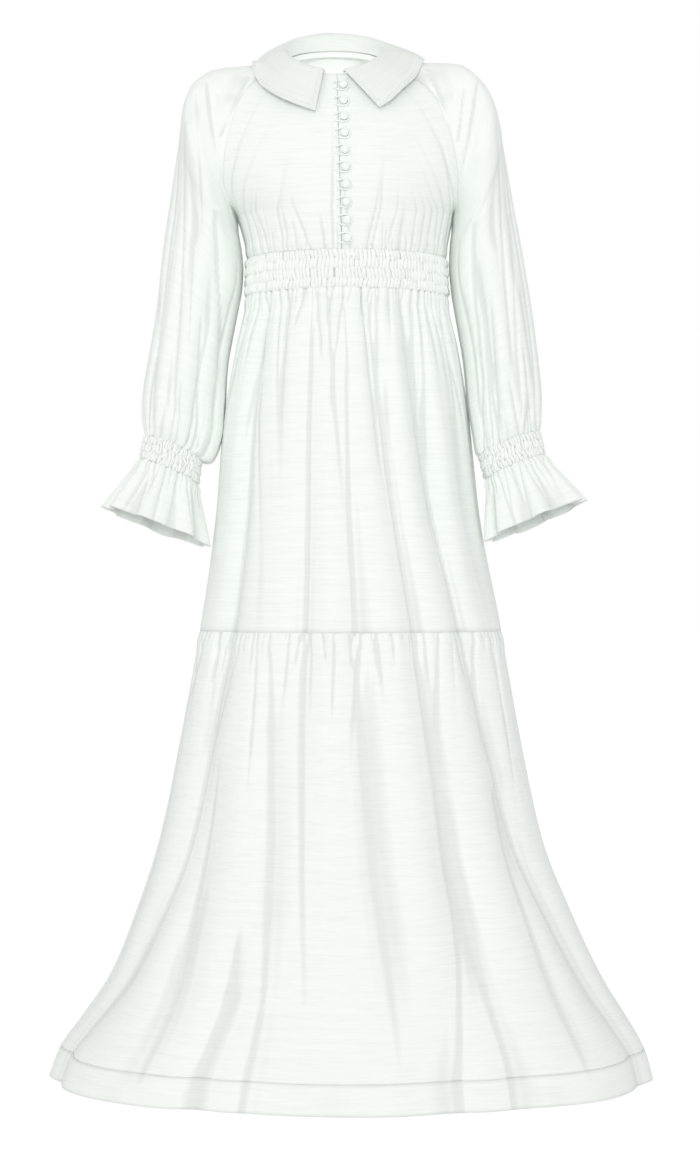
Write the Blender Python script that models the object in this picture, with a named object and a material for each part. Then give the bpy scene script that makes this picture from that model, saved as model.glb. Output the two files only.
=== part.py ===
"""White tiered abaya, filled out as worn: fold-over collar, buttoned front, raglan bishop sleeves with
smocked wrists and ruffles, a smocked empire waistband and a two-tier gathered skirt with a deep hem.

Metres, +Z up, the front faces -Y. The origin is level with the top of the shoulders at the neck, where
the wearer carries the garment. "Right" and "left" are the wearer's, so the right sleeve is at -X.
"""

import math
from collections import namedtuple

import bmesh
import bpy
import numpy as np
from mathutils import Vector
from mathutils.bvhtree import BVHTree

# Driving dimensions
CLOTH = 0.0013
DOUBLE_CLOTH = 0.0020
SEAM_GAP = 0.0004
REST_GAP = 0.0005
PUFF = 0.0020
STITCH_DIP = 0.0005
WAIST_TOP = -0.280
WAIST_LOW = -0.330
TIER_SEAM = -0.798
HEM_SEAM = -1.381
HEM_LOW = -1.422
SIDE_Y = 0.004

BODICE_WAVES = 24
TIER_ONE_WAVES = 42
TIER_TWO_WAVES = 44
WAIST_PUCKERS = 48
WRIST_PUCKERS = 14
RUFFLE_WAVES = 8
SLEEVE_COLUMNS = 30
SMOCKED_WAIST_ROWS = 4
SMOCKED_WRIST_ROWS = 3

BUTTONS = 10
BUTTON_TOP_Z = -0.053
BUTTON_LOW_Z = -0.265
BUTTON_OFFSET = 0.0078
BUTTON_RADIUS = 0.0056
BUTTON_HEIGHT = 0.0064
LOOP_RADIUS = 0.0011
LOOP_REACH = 0.0070

NECK_X = -0.0148
NECK_HALF_WIDTH = 0.066
NECK_FRONT = 0.075
NECK_BACK = 0.058
NECK_FRONT_DROP = 0.035
NECK_BACK_RISE = 0.025

# Level sections of the skirt and the waistband, from the waist down
Section = namedtuple("Section", "z centre half_width front back")
SKIRT = (
    Section(-0.280, 0.0020, 0.1375, 0.115, 0.089),
    Section(-0.305, 0.0022, 0.1386, 0.1156, 0.0906),
    Section(-0.330, 0.0025, 0.1395, 0.116, 0.092),
    Section(-0.400, 0.0020, 0.1540, 0.130, 0.116),
    Section(-0.500, 0.0020, 0.1700, 0.148, 0.145),
    Section(-0.640, 0.0040, 0.1840, 0.164, 0.170),
    Section(-0.798, 0.0078, 0.2110, 0.182, 0.194),
    Section(-0.960, 0.0080, 0.2400, 0.199, 0.213),
    Section(-1.090, 0.0090, 0.2680, 0.212, 0.226),
    Section(-1.190, 0.0130, 0.3040, 0.221, 0.238),
    Section(-1.285, 0.0160, 0.3460, 0.230, 0.254),
    Section(-1.345, 0.0140, 0.3850, 0.239, 0.270),
    Section(-1.381, 0.0110, 0.4080, 0.245, 0.280),
    Section(-1.422, 0.0090, 0.4220, 0.250, 0.288),
)

# Long folds of the skirt, each a trough: where it lies in degrees round the ring (0 at the wearer's
# left side, 90 at the front, 180 at the right side, 270 at the back) at the waist, at the tier seam,
# at the knee and at the hem, the heights it runs between, how deep it is and its half width in degrees
Fold = namedtuple("Fold", "waist seam knee hem top low depth half_width")
FOLDS = (
    Fold(142, 144, 148, 168, -0.31, -1.44, 0.015, 6),
    Fold(138, 138, 138, 133, -0.95, -1.40, 0.013, 6),
    Fold(119, 119, 114, 110, -0.80, -1.45, 0.010, 6),
    Fold(107, 107, 104, 100, -0.34, -1.30, 0.008, 6),
    Fold(90, 88, 84, 81, -0.34, -1.40, 0.009, 7),
    Fold(78, 65, 61, 70, -0.31, -1.45, 0.014, 6),
    Fold(60, 60, 59, 59, -1.00, -1.44, 0.011, 5),
    Fold(58, 42, 31, 17, -0.31, -1.44, 0.016, 6),
    Fold(40, 40, 38, 40, -1.00, -1.40, 0.012, 5),
    Fold(120, 120, 120, 120, -1.16, -1.50, 0.014, 4),
    Fold(205, 208, 210, 202, -0.33, -1.44, 0.014, 7),
    Fold(228, 226, 224, 220, -0.80, -1.44, 0.013, 6),
    Fold(243, 244, 243, 240, -0.33, -1.44, 0.013, 7),
    Fold(262, 263, 262, 260, -0.33, -1.42, 0.012, 7),
    Fold(279, 281, 281, 284, -0.33, -1.44, 0.013, 7),
    Fold(298, 300, 302, 307, -0.80, -1.44, 0.013, 6),
    Fold(315, 317, 319, 325, -0.33, -1.44, 0.014, 7),
    Fold(334, 334, 336, 345, -0.60, -1.44, 0.012, 6),
)
FOLD_HEIGHTS = (WAIST_LOW, TIER_SEAM, -1.09, HEM_SEAM)

# Rows of the bodice from the neck to the waist: the middle of the row's two seam points, half the
# distance between them, their depth and height, the row's own depth and height at the middle of the
# panel, and how far the cloth has turned from facing the front (or back) where it meets the seam.
# The first eight rows end on the raglan seam and the rest on the side seam.
Row = namedtuple("Row", "lean half seam_y seam_z mid_y mid_z turn")
FRONT = (
    Row(-0.0140, 0.0540, -0.043, -0.0155, -0.075, -0.035, 55),
    Row(-0.0115, 0.1040, -0.046, -0.034, -0.086, -0.060, 50),
    Row(-0.0098, 0.1330, -0.058, -0.062, -0.097, -0.086, 50),
    Row(-0.0085, 0.1470, -0.072, -0.101, -0.109, -0.116, 55),
    Row(-0.0070, 0.1570, -0.076, -0.140, -0.118, -0.146, 62),
    Row(-0.0056, 0.1610, -0.062, -0.176, -0.122, -0.176, 70),
    Row(-0.0030, 0.1580, -0.036, -0.203, -0.123, -0.203, 80),
    Row(0.0000, 0.1505, SIDE_Y, -0.222, -0.122, -0.228, 90),
    Row(0.0014, 0.1440, SIDE_Y, -0.248, -0.119, -0.252, 90),
    Row(0.0020, 0.1375, SIDE_Y, WAIST_TOP, -0.111, WAIST_TOP, 90),
)
BACK = (
    Row(-0.0140, 0.0520, 0.036, 0.011, 0.058, 0.025, 55),
    Row(-0.0115, 0.1000, 0.052, -0.013, 0.071, -0.002, 50),
    Row(-0.0098, 0.1300, 0.070, -0.050, 0.081, -0.040, 50),
    Row(-0.0085, 0.1460, 0.083, -0.092, 0.090, -0.080, 55),
    Row(-0.0070, 0.1550, 0.085, -0.132, 0.096, -0.120, 62),
    Row(-0.0056, 0.1580, 0.068, -0.170, 0.099, -0.160, 70),
    Row(-0.0030, 0.1560, 0.042, -0.200, 0.099, -0.195, 80),
    Row(0.0000, 0.1505, SIDE_Y, -0.222, 0.098, -0.224, 90),
    Row(0.0014, 0.1440, SIDE_Y, -0.248, 0.096, -0.250, 90),
    Row(0.0020, 0.1375, SIDE_Y, WAIST_TOP, 0.093, WAIST_TOP, 90),
)
RAGLAN_ROWS = 8
BODICE_GATHER = (0, 0, 0, 0, 0, 0, 0.0004, 0.0010, 0.0022, 0.0011)
OPENING_TOP_X = -0.0107
OPENING_LOW_X = -0.0038

# Rings of a sleeve from the shoulder to the wrist: the outer and inner ends of each ring, measured
# outwards from the garment's middle, half its depth, how far its front and back bow outwards, and
# the depth of its centre
Ring = namedtuple("Ring", "outer outer_z inner inner_z half_depth bow centre_y")
RIGHT_SLEEVE = (
    Ring(0.164, -0.014, 0.1500, -0.236, 0.082, 0.036, 0.004),
    Ring(0.199, -0.028, 0.1485, -0.248, 0.083, 0.036, 0.004),
    Ring(0.217, -0.053, 0.1460, -0.262, 0.078, 0.030, 0.004),
    Ring(0.227, -0.089, 0.1440, -0.277, 0.071, 0.022, 0.004),
    Ring(0.2345, -0.133, 0.1430, -0.297, 0.065, 0.011, 0.004),
    Ring(0.244, -0.196, 0.1450, -0.325, 0.061, 0.0, 0.004),
    Ring(0.253, -0.259, 0.1510, -0.361, 0.060, 0.0, 0.002),
    Ring(0.265, -0.357, 0.1610, -0.422, 0.061, 0.0, -0.004),
    Ring(0.280, -0.455, 0.1670, -0.490, 0.060, 0.0, -0.016),
    Ring(0.282, -0.497, 0.1700, -0.529, 0.056, 0.0, -0.024),
    Ring(0.279, -0.519, 0.1830, -0.563, 0.046, 0.0, -0.028),
    Ring(0.276, -0.530, 0.2015, -0.561, 0.034, 0.0, -0.030),
)
LEFT_SLEEVE = (
    Ring(0.147, -0.008, 0.1505, -0.229, 0.082, 0.030, 0.004),
    Ring(0.175, -0.022, 0.1500, -0.242, 0.083, 0.034, 0.004),
    Ring(0.196, -0.047, 0.1480, -0.256, 0.078, 0.030, 0.004),
    Ring(0.213, -0.089, 0.1470, -0.274, 0.071, 0.022, 0.004),
    Ring(0.223, -0.133, 0.1470, -0.295, 0.065, 0.011, 0.004),
    Ring(0.2345, -0.196, 0.1500, -0.327, 0.061, 0.0, 0.004),
    Ring(0.246, -0.259, 0.1560, -0.364, 0.060, 0.0, 0.002),
    Ring(0.262, -0.357, 0.1650, -0.422, 0.061, 0.0, -0.004),
    Ring(0.273, -0.455, 0.1700, -0.487, 0.060, 0.0, -0.016),
    Ring(0.273, -0.497, 0.1755, -0.523, 0.056, 0.0, -0.024),
    Ring(0.2715, -0.515, 0.1810, -0.553, 0.046, 0.0, -0.028),
    Ring(0.268, -0.524, 0.1880, -0.554, 0.034, 0.0, -0.030),
)
# The wristband's lower ring and the ruffle's hem ring, as the rings above
RIGHT_WRIST = Ring(0.282, -0.560, 0.2060, -0.593, 0.036, 0.0, -0.035)
LEFT_WRIST = Ring(0.275, -0.555, 0.1970, -0.586, 0.036, 0.0, -0.035)
RIGHT_RUFFLE = Ring(0.332, -0.627, 0.1890, -0.680, 0.050, 0.0, -0.050)
LEFT_RUFFLE = Ring(0.331, -0.618, 0.1950, -0.674, 0.050, 0.0, -0.050)
# A ring's front edge is lifted by this share of its depth, because the arms reach forward
NOD = 0.16

# Long folds of a sleeve: the place round the ring at the shoulder and at the wrist (0 outermost,
# 0.25 front, 0.5 innermost, 0.75 back), the share of the sleeve's length it starts and ends at,
# its depth and half width round the ring
SleeveFold = namedtuple("SleeveFold", "start_at end_at start end depth half_width")
SLEEVE_FOLDS = (
    SleeveFold(0.11, 0.10, 0.12, 1.00, 0.008, 0.045),
    SleeveFold(0.20, 0.21, 0.10, 0.60, 0.006, 0.04),
    SleeveFold(0.30, 0.33, 0.20, 1.00, 0.008, 0.045),
    SleeveFold(0.40, 0.42, 0.55, 1.00, 0.007, 0.04),
    SleeveFold(0.60, 0.58, 0.45, 1.00, 0.007, 0.045),
    SleeveFold(0.72, 0.73, 0.15, 0.95, 0.008, 0.045),
    SleeveFold(0.88, 0.88, 0.15, 1.00, 0.007, 0.045),
)

# The collar round the neck, from its right front end over the back to its left front end: degrees
# round the neck, the stand's height and the place of its outer edge
Collar = namedtuple("Collar", "angle stand edge_x edge_y edge_z")
COLLAR = (
    Collar(101, 0.0016, -0.0400, -0.106, -0.092),
    Collar(118, 0.0025, -0.0660, -0.102, -0.082),
    Collar(138, 0.0045, -0.0940, -0.089, -0.067),
    Collar(158, 0.0080, -0.1150, -0.064, -0.048),
    Collar(178, 0.0120, -0.1290, -0.022, -0.021),
    Collar(205, 0.0180, -0.1230, 0.034, -0.004),
    Collar(235, 0.0230, -0.0880, 0.076, -0.007),
    Collar(270, 0.0245, -0.0130, 0.098, -0.014),
    Collar(305, 0.0230, 0.0600, 0.076, -0.004),
    Collar(335, 0.0180, 0.1010, 0.036, 0.008),
    Collar(362, 0.0120, 0.1110, -0.012, -0.004),
    Collar(382, 0.0080, 0.0980, -0.054, -0.034),
    Collar(402, 0.0045, 0.0790, -0.083, -0.057),
    Collar(422, 0.0025, 0.0600, -0.100, -0.078),
    Collar(439, 0.0016, 0.0470, -0.105, -0.087),
)
COLLAR_COLUMNS = 30
COLLAR_CLEAR = 0.0018
COLLAR_LOOK = 0.009
COLLAR_SEEK = 0.12
COLLAR_RISE = 0.8
COLLAR_RIDGE = 0.012


def clear_scene():
    """Removes every object that the file starts with."""
    for obj in list(bpy.data.objects):
        bpy.data.objects.remove(obj)


def cloth_material(name, colour, roughness):
    """A plain cloth finish."""
    material = bpy.data.materials.new(name)
    material.use_nodes = True
    shader = material.node_tree.nodes["Principled BSDF"]
    shader.inputs["Base Color"].default_value = (*colour, 1.0)
    shader.inputs["Roughness"].default_value = roughness
    shader.inputs["Metallic"].default_value = 0.0
    return material


def smooth(x, xs, ys):
    """The height at x of a cubic through the points (xs, ys) that never overshoots them."""
    xs, ys = np.asarray(xs, float), np.asarray(ys, float)
    if xs[0] > xs[-1]:
        xs, ys = xs[::-1], ys[::-1]
    steps = np.diff(xs)
    slopes = np.diff(ys) / steps
    bend = np.zeros_like(xs)
    same = slopes[1:] * slopes[:-1] > 0
    bend[1:-1][same] = 2 * slopes[1:][same] * slopes[:-1][same] / (slopes[1:] + slopes[:-1])[same]
    bend[0], bend[-1] = slopes[0], slopes[-1]
    x = np.clip(np.asarray(x, float), xs[0], xs[-1])
    at = np.clip(np.searchsorted(xs, x) - 1, 0, len(steps) - 1)
    t = (x - xs[at]) / steps[at]
    rise = (3 - 2 * t) * t * t
    ends = ys[at] * (1 - rise) + ys[at + 1] * rise
    return ends + steps[at] * t * (1 - t) * (bend[at] * (1 - t) - bend[at + 1] * t)


def column(table, field, x, key):
    """A table's column, read smoothly at x along its key column."""
    return smooth(x, [getattr(row, key) for row in table], [getattr(row, field) for row in table])


def unit(vectors):
    """The vectors at length one."""
    return vectors / np.maximum(np.linalg.norm(vectors, axis=-1, keepdims=True), 1e-12)


def normals_of(grid, closed):
    """The normals of a grid of points (rows, columns, 3), by differences along both ways."""
    if closed:
        across = np.roll(grid, -1, axis=1) - np.roll(grid, 1, axis=1)
    else:
        across = np.gradient(grid, axis=1)
    return unit(np.cross(across, np.gradient(grid, axis=0)))


def facing_away(normals, grid, centre):
    """The normals turned to point away from a centre for each row (rows, 3)."""
    away = ((grid - centre[:, None]) * normals).sum(axis=-1).mean() > 0
    return normals if away else -normals


def solid_between(name, outer, inner, closed, material, collection):
    """One closed solid between two grids of points (rows, columns, 3)."""
    rows, columns = outer.shape[:2]
    index = np.arange(rows * columns).reshape(rows, columns)
    if closed:
        index = np.concatenate([index, index[:, :1]], axis=1)
    back = index + rows * columns
    quads = [(index[:-1, :-1], index[:-1, 1:], index[1:, 1:], index[1:, :-1])]
    quads.append((back[:-1, :-1], back[1:, :-1], back[1:, 1:], back[:-1, 1:]))
    quads.append((index[0, 1:], index[0, :-1], back[0, :-1], back[0, 1:]))
    quads.append((index[-1, :-1], index[-1, 1:], back[-1, 1:], back[-1, :-1]))
    if not closed:
        quads.append((index[:-1, 0], index[1:, 0], back[1:, 0], back[:-1, 0]))
        quads.append((index[1:, -1], index[:-1, -1], back[:-1, -1], back[1:, -1]))
    faces = np.concatenate([np.stack([np.ravel(c) for c in quad], axis=1) for quad in quads])
    points = np.concatenate([outer.reshape(-1, 3), inner.reshape(-1, 3)])
    return add_object(name, closed_mesh(name, points, faces), material, collection)


def closed_mesh(name, points, faces):
    """A closed mesh of the points and faces, facing outwards."""
    mesh = bpy.data.meshes.new(name)
    mesh.from_pydata(points.tolist(), [], faces.tolist())
    shape = bmesh.new()
    shape.from_mesh(mesh)
    outward_mesh(shape, mesh)
    mesh.shade_smooth()
    mesh.set_sharp_from_angle(angle=math.radians(60))
    return mesh


def outward_mesh(shape, mesh):
    """Writes a closed shape into the mesh with its faces outwards."""
    if shape.calc_volume(signed=True) < 0:
        bmesh.ops.reverse_faces(shape, faces=shape.faces)
    shape.to_mesh(mesh)
    shape.free()


def add_object(name, mesh, material, collection):
    """An object for the mesh, with its material, in the collection."""
    obj = bpy.data.objects.new(name, mesh)
    mesh.materials.append(material)
    collection.objects.link(obj)
    return obj


def fold_depth(theta, z):
    """How far the long folds pull the skirt in at an angle in degrees and a height."""
    depth = np.zeros(np.broadcast(theta, z).shape)
    for fold in FOLDS:
        at = smooth(z, FOLD_HEIGHTS, (fold.waist, fold.seam, fold.knee, fold.hem))
        off = (theta - at + 180) % 360 - 180
        run = (fold.top - z) / (fold.top - fold.low)
        along = np.where((run > 0) & (run < 1), np.sin(np.pi * np.clip(run, 0, 1)) ** 0.6, 0)
        if fold.low < HEM_LOW:
            along = np.clip((fold.top - z) / 0.12, 0, 1)
        depth = depth + fold.depth * along * np.exp(-((off / fold.half_width) ** 2))
    return depth


def skirt_surface(theta, z, waves, gather_depth):
    """Points of the skirt at angles in degrees and heights, and the outward level normals there.

    Each level is an ellipse with its own front and back depth. Gathers are a cosine round it, and the
    long folds are troughs with a bell-shaped section.
    """
    theta, z = np.broadcast_arrays(theta, z)
    angle = np.radians(theta)
    half_width = column(SKIRT, "half_width", z, "z")
    front = np.sin(angle) >= 0
    depth = np.where(front, column(SKIRT, "front", z, "z"), column(SKIRT, "back", z, "z"))
    out = unit(np.stack([np.cos(angle) / half_width, -np.sin(angle) / depth, 0 * z], axis=-1))
    move = gather_depth * np.cos(waves * angle) - fold_depth(theta, z)
    x = column(SKIRT, "centre", z, "z") + half_width * np.cos(angle)
    y = SIDE_Y - depth * np.sin(angle)
    return np.stack([x, y, z], axis=-1) + out * move[..., None], out


def skirt_panel(name, start, levels, waves, gathers, cloth, material, collection):
    """Half a tier, from the angle start round to start + 180, between its first and last level."""
    theta = start + np.linspace(0, 180, waves + 1)
    z = np.array(levels)[:, None]
    outer, level_out = skirt_surface(theta, z, waves, np.array(gathers)[:, None])
    whole_turn = np.linspace(0, 360, 2 * waves, endpoint=False)
    ring, _ = skirt_surface(whole_turn, z, waves, np.array(gathers)[:, None])
    middle = ring.mean(axis=1)
    normals = facing_away(normals_of(ring, True), ring, middle)
    columns = (np.arange(waves + 1) + (waves if start else 0)) % (2 * waves)
    normals = normals[:, columns]
    normals[[0, -1]] = level_out[[0, -1]]
    normals[:, [0, -1], 1] = 0
    normals = unit(normals)
    inner = outer - normals * cloth
    for grid in (outer, inner):
        grid[0, :, 2] -= SEAM_GAP / 2
        if levels[-1] != HEM_LOW:
            grid[-1, :, 2] += SEAM_GAP / 2
        grid[:, [0, -1], 1] += SEAM_GAP / 2 if start else -SEAM_GAP / 2
    return solid_between(name, outer, inner, False, material, collection)


def make_skirt(material, collection):
    """Both tiers and the hem band, each as a front and a back."""
    tier_one = (WAIST_LOW, -0.352, -0.410, -0.520, -0.655, TIER_SEAM)
    tier_two = (TIER_SEAM, -0.832, -0.950, -1.090, -1.205, -1.305, HEM_SEAM)
    for side, start in (("front", 0), ("back", 180)):
        skirt_panel(f"skirt_upper_{side}", start, tier_one, TIER_ONE_WAVES,
                    (0.0012, 0.0032, 0.0022, 0.0010, 0.0006, 0.0003), CLOTH, material, collection)
        skirt_panel(f"skirt_lower_{side}", start, tier_two, TIER_TWO_WAVES,
                    (0.0006, 0.0024, 0.0012, 0.0006, 0.0003, 0.0, 0.0), CLOTH, material, collection)
        skirt_panel(f"hem_band_{side}", start, (HEM_SEAM, HEM_LOW), TIER_TWO_WAVES,
                    (0.0, 0.0), DOUBLE_CLOTH, material, collection)


def smocked(columns, puff_rows):
    """How far smocking stands out on a grid of 2 * puff_rows + 1 levels.

    It stands out by nothing on each line of stitches, which are the even levels. Between two lines it
    puffs out on every second column, and the puffs change places from one row to the next.
    """
    level = np.arange(2 * puff_rows + 1)[:, None]
    place = np.arange(columns)[None, :]
    crest = (place + level // 2) % 2 == 0
    return np.where(level % 2 == 0, 0.0, np.where(crest, 1.0, 0.25))


def make_waistband(material, collection):
    """The smocked band round the waist: raised puffs over a plain inside."""
    columns = 2 * WAIST_PUCKERS
    theta = np.linspace(0, 360, columns, endpoint=False)
    z = np.linspace(WAIST_TOP, WAIST_LOW, 2 * SMOCKED_WAIST_ROWS + 1)[:, None]
    z = z + np.where(z == WAIST_TOP, -SEAM_GAP / 2, 0) + np.where(z == WAIST_LOW, SEAM_GAP / 2, 0)
    base, out = skirt_surface(theta, z, 1, 0.0)
    raised = PUFF * smocked(columns, SMOCKED_WAIST_ROWS) - STITCH_DIP
    outer = base + out * raised[..., None]
    inner = (base - out * DOUBLE_CLOTH)[[0, -1]]
    join_uneven("waistband", outer, inner, material, collection)


def join_uneven(name, outer, inner, material, collection):
    """A closed ring whose outer wall has more rows than its plain inner wall of two rows."""
    rows, columns = outer.shape[:2]
    index = np.arange(rows * columns).reshape(rows, columns)
    index = np.concatenate([index, index[:, :1]], axis=1)
    back = rows * columns + np.arange(2 * columns).reshape(2, columns)
    back = np.concatenate([back, back[:, :1]], axis=1)
    quads = [
        (index[:-1, :-1], index[:-1, 1:], index[1:, 1:], index[1:, :-1]),
        (back[0, :-1], back[1, :-1], back[1, 1:], back[0, 1:]),
        (index[0, 1:], index[0, :-1], back[0, :-1], back[0, 1:]),
        (index[-1, :-1], index[-1, 1:], back[-1, 1:], back[-1, :-1]),
    ]
    faces = np.concatenate([np.stack([np.ravel(c) for c in quad], axis=1) for quad in quads])
    points = np.concatenate([outer.reshape(-1, 3), inner.reshape(-1, 3)])
    return add_object(name, closed_mesh(name, points, faces), material, collection)


def opening_x(z):
    """Where the front opening runs at a height."""
    return smooth(z, (FRONT[0].mid_z, WAIST_TOP), (OPENING_TOP_X, OPENING_LOW_X))


def panel_half(rows, side, share, gathered=True):
    """Points of one half of the front or back, from its middle (share 0) to its seam (share 1).

    Each row is an arc of an ellipse from the middle of the panel, which it leaves square, to the seam,
    where it has turned by the row's own angle.
    """
    points = np.zeros((len(rows), len(share), 3))
    front = rows[0].seam_y < 0
    for k, row in enumerate(rows):
        middle = float(opening_x(row.mid_z)) if front else row.lean
        seam_x = row.lean + side * row.half
        turn = math.radians(row.turn)
        across = np.sin(share * turn) / math.sin(turn)
        forward = (np.cos(share * turn) - math.cos(turn)) / (1 - math.cos(turn))
        points[k, :, 0] = middle + (seam_x - middle) * across
        points[k, :, 1] = row.seam_y + (row.mid_y - row.seam_y) * forward
        points[k, :, 2] = row.mid_z + (row.seam_z - row.mid_z) * share ** 2
    if not gathered:
        return points
    wave = np.cos(np.pi * np.arange(len(share)))
    wave[-1] = 0
    if front:
        wave[0] = 0
    out = np.zeros_like(points)
    out[..., 0] = side * np.sin(share * math.pi / 2)
    out[..., 1] = (-1 if front else 1) * np.cos(share * math.pi / 2)
    return points + out * (np.array(BODICE_GATHER)[:, None] * wave)[..., None]


def seam_points(rows, side):
    """The raglan seam from the neck to the armpit."""
    return np.array([(r.lean + side * r.half, r.seam_y, r.seam_z) for r in rows[:RAGLAN_ROWS]])


def neck_side(side):
    """The neckline's point on top of the shoulder."""
    return np.array([NECK_X + side * NECK_HALF_WIDTH, -0.002, 0.0])


def ring_points(ring, side, count):
    """A ring of the sleeve: an ellipse between its outer and inner ends, bowed outwards at front and back."""
    angle = np.linspace(0, 2 * math.pi, count, endpoint=False)[:, None]
    outer = np.array([side * ring.outer, ring.centre_y, ring.outer_z])
    inner = np.array([side * ring.inner, ring.centre_y, ring.inner_z])
    forward = np.array([0, -1, NOD]) * ring.half_depth
    bow = np.array([side * ring.bow, 0, 0])
    centre, half = (outer + inner) / 2, (outer - inner) / 2
    return centre + half * np.cos(angle) + forward * np.sin(angle) + bow * np.sin(angle) ** 2


def shoulder_loop(side):
    """The sleeve's first ring: the neck's side, the front raglan seam, the armpit and the back seam.

    Between two seam points that the bodice shares it adds their midpoint, so that both run along the
    same straight lines.
    """
    front, back = seam_points(FRONT, side), seam_points(BACK, side)[::-1]
    halves = (SLEEVE_COLUMNS - 2) // 2 // (RAGLAN_ROWS - 1)
    loop = [neck_side(side)]
    for line in (front, back):
        for a, b in zip(line[:-1], line[1:]):
            loop.extend(a + (b - a) * step / halves for step in range(halves))
    loop.append(back[-1])
    return np.array(loop)


def sleeve_grid(rings, side):
    """The sleeve's outer points, from the raglan seam to the wrist."""
    loop = shoulder_loop(side)
    count = len(loop)
    grid = np.stack([loop] + [ring_points(ring, side, count) for ring in rings])
    middle = grid.mean(axis=1, keepdims=True)
    out = unit(grid - middle)
    along = (np.arange(len(grid)) / (len(grid) - 1))[:, None]
    place = (np.arange(count) / count)[None, :]
    for fold in SLEEVE_FOLDS:
        run = np.clip((along - fold.start) / (fold.end - fold.start), 0, 1)
        at = fold.start_at + (fold.end_at - fold.start_at) * run
        off = (place - at + 0.5) % 1 - 0.5
        depth = fold.depth * np.sin(np.pi * np.clip(run, 0, 1)) ** 0.7
        grid -= out * (depth * np.exp(-((off / fold.half_width) ** 2)))[..., None]
    gather = np.zeros(len(grid))
    gather[-3:] = (0.0016, 0.0026, 0.0008)
    wave = np.cos(np.pi * np.arange(count))
    return grid + out * (gather[:, None] * wave)[..., None]


def in_plane(normals, ring):
    """Normals laid into the plane of a ring of points."""
    centre = ring.mean(axis=0)
    axis = unit(np.cross(ring[0] - centre, ring[len(ring) // 4] - centre))
    return unit(normals - (normals @ axis)[:, None] * axis)


def along_axis(ring, towards):
    """The unit axis of a ring of points, pointing towards a point."""
    centre = ring.mean(axis=0)
    axis = unit(np.cross(ring[0] - centre, ring[len(ring) // 4] - centre))
    return axis if (towards - centre) @ axis > 0 else -axis


def own_normals(grid):
    """Outward normals of a tube's grid."""
    return facing_away(normals_of(grid, True), grid, grid.mean(axis=1))


def panel_normals(rows, side, share, gathered=True):
    """Outward normals of a half panel, kept square to its middle and its side seam."""
    grid = panel_half(rows, side, share, gathered)
    normals = normals_of(grid, False)
    centre = np.stack([np.array([row.lean, 0.0, row.mid_z - 0.04]) for row in rows])
    normals = facing_away(normals, grid, centre)
    normals[:, 0, 0] = 0
    normals[RAGLAN_ROWS:, -1, 1] = 0
    normals[-1, :, 2] = 0
    return unit(normals)


def seam_normals(side, sleeve):
    """Normals on the raglan seams that the bodice and the sleeve share, where they agree enough."""
    own = own_normals(sleeve)[0]
    shared = {}
    steps = (SLEEVE_COLUMNS - 2) // 2 // (RAGLAN_ROWS - 1)
    share = np.linspace(0, 1, BODICE_WAVES // 4 * 2 + 1)
    for name, rows, first, way in (("front", FRONT, 1, 1), ("back", BACK, len(own) - 1, -1)):
        body = panel_normals(rows, side, share)[:RAGLAN_ROWS, -1]
        at = first + way * steps * np.arange(RAGLAN_ROWS)
        mean = unit(body + own[at])
        agree = (body * own[at]).sum(axis=1) > 0.2
        shared[name] = (np.where(agree[:, None], mean, body), np.where(agree[:, None], mean, own[at]), at)
    return shared


def make_sleeve(name, rings, side, material, collection):
    """A raglan sleeve's wall, with its cloth inside its outer points."""
    grid = sleeve_grid(rings, side)
    normals = own_normals(grid)
    steps = (SLEEVE_COLUMNS - 2) // 2 // (RAGLAN_ROWS - 1)
    for _, ours, at in seam_normals(side, grid).values():
        normals[0, at] = ours
        for a, b in zip(at[:-1], at[1:]):
            low, high = min(a, b), max(a, b)
            for step in range(1, steps):
                normals[0, low + step] = unit((normals[0, low] + normals[0, high]) / 2)
    normals[-1] = in_plane(normals[-1], grid[-1])
    inner = grid - normals * CLOTH
    axis = along_axis(grid[-1], grid[-2].mean(axis=0))
    step_in = unit(grid[1] - grid[0]) * SEAM_GAP / 2
    for layer in (grid, inner):
        layer[0] += step_in
        layer[-1] += axis * SEAM_GAP / 2
    return solid_between(name, grid, inner, True, material, collection)


def make_bodice(material, collection):
    """The two buttoned front halves and the whole back."""
    share = np.linspace(0, 1, BODICE_WAVES // 4 * 2 + 1)
    halves = {}
    for side, rings in ((-1, RIGHT_SLEEVE), (1, LEFT_SLEEVE)):
        shared = seam_normals(side, sleeve_grid(rings, side))
        for name, rows in (("front", FRONT), ("back", BACK)):
            outer = panel_half(rows, side, share)
            normals = panel_normals(rows, side, share)
            normals[:RAGLAN_ROWS, -1] = shared[name][0]
            inner = outer - normals * CLOTH
            inwards = unit(outer[:RAGLAN_ROWS, -2] - outer[:RAGLAN_ROWS, -1]) * SEAM_GAP / 2
            for layer in (outer, inner):
                layer[:RAGLAN_ROWS, -1] += inwards
                layer[RAGLAN_ROWS:, -1, 1] += -SEAM_GAP / 2 if name == "front" else SEAM_GAP / 2
                layer[-1, :, 2] += SEAM_GAP / 2
                layer[:, 0, 0] += side * SEAM_GAP / 2 if name == "front" else 0
            halves[name, side] = (outer, inner)
    made = [
        solid_between("bodice_front_right", *halves["front", -1], False, material, collection),
        solid_between("bodice_front_left", *halves["front", 1], False, material, collection),
    ]
    whole = [
        np.concatenate([right[:, ::-1], left[:, 1:]], axis=1)
        for right, left in zip(halves["back", -1], halves["back", 1])
    ]
    made.append(solid_between("bodice_back", *whole, False, material, collection))
    return made


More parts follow.
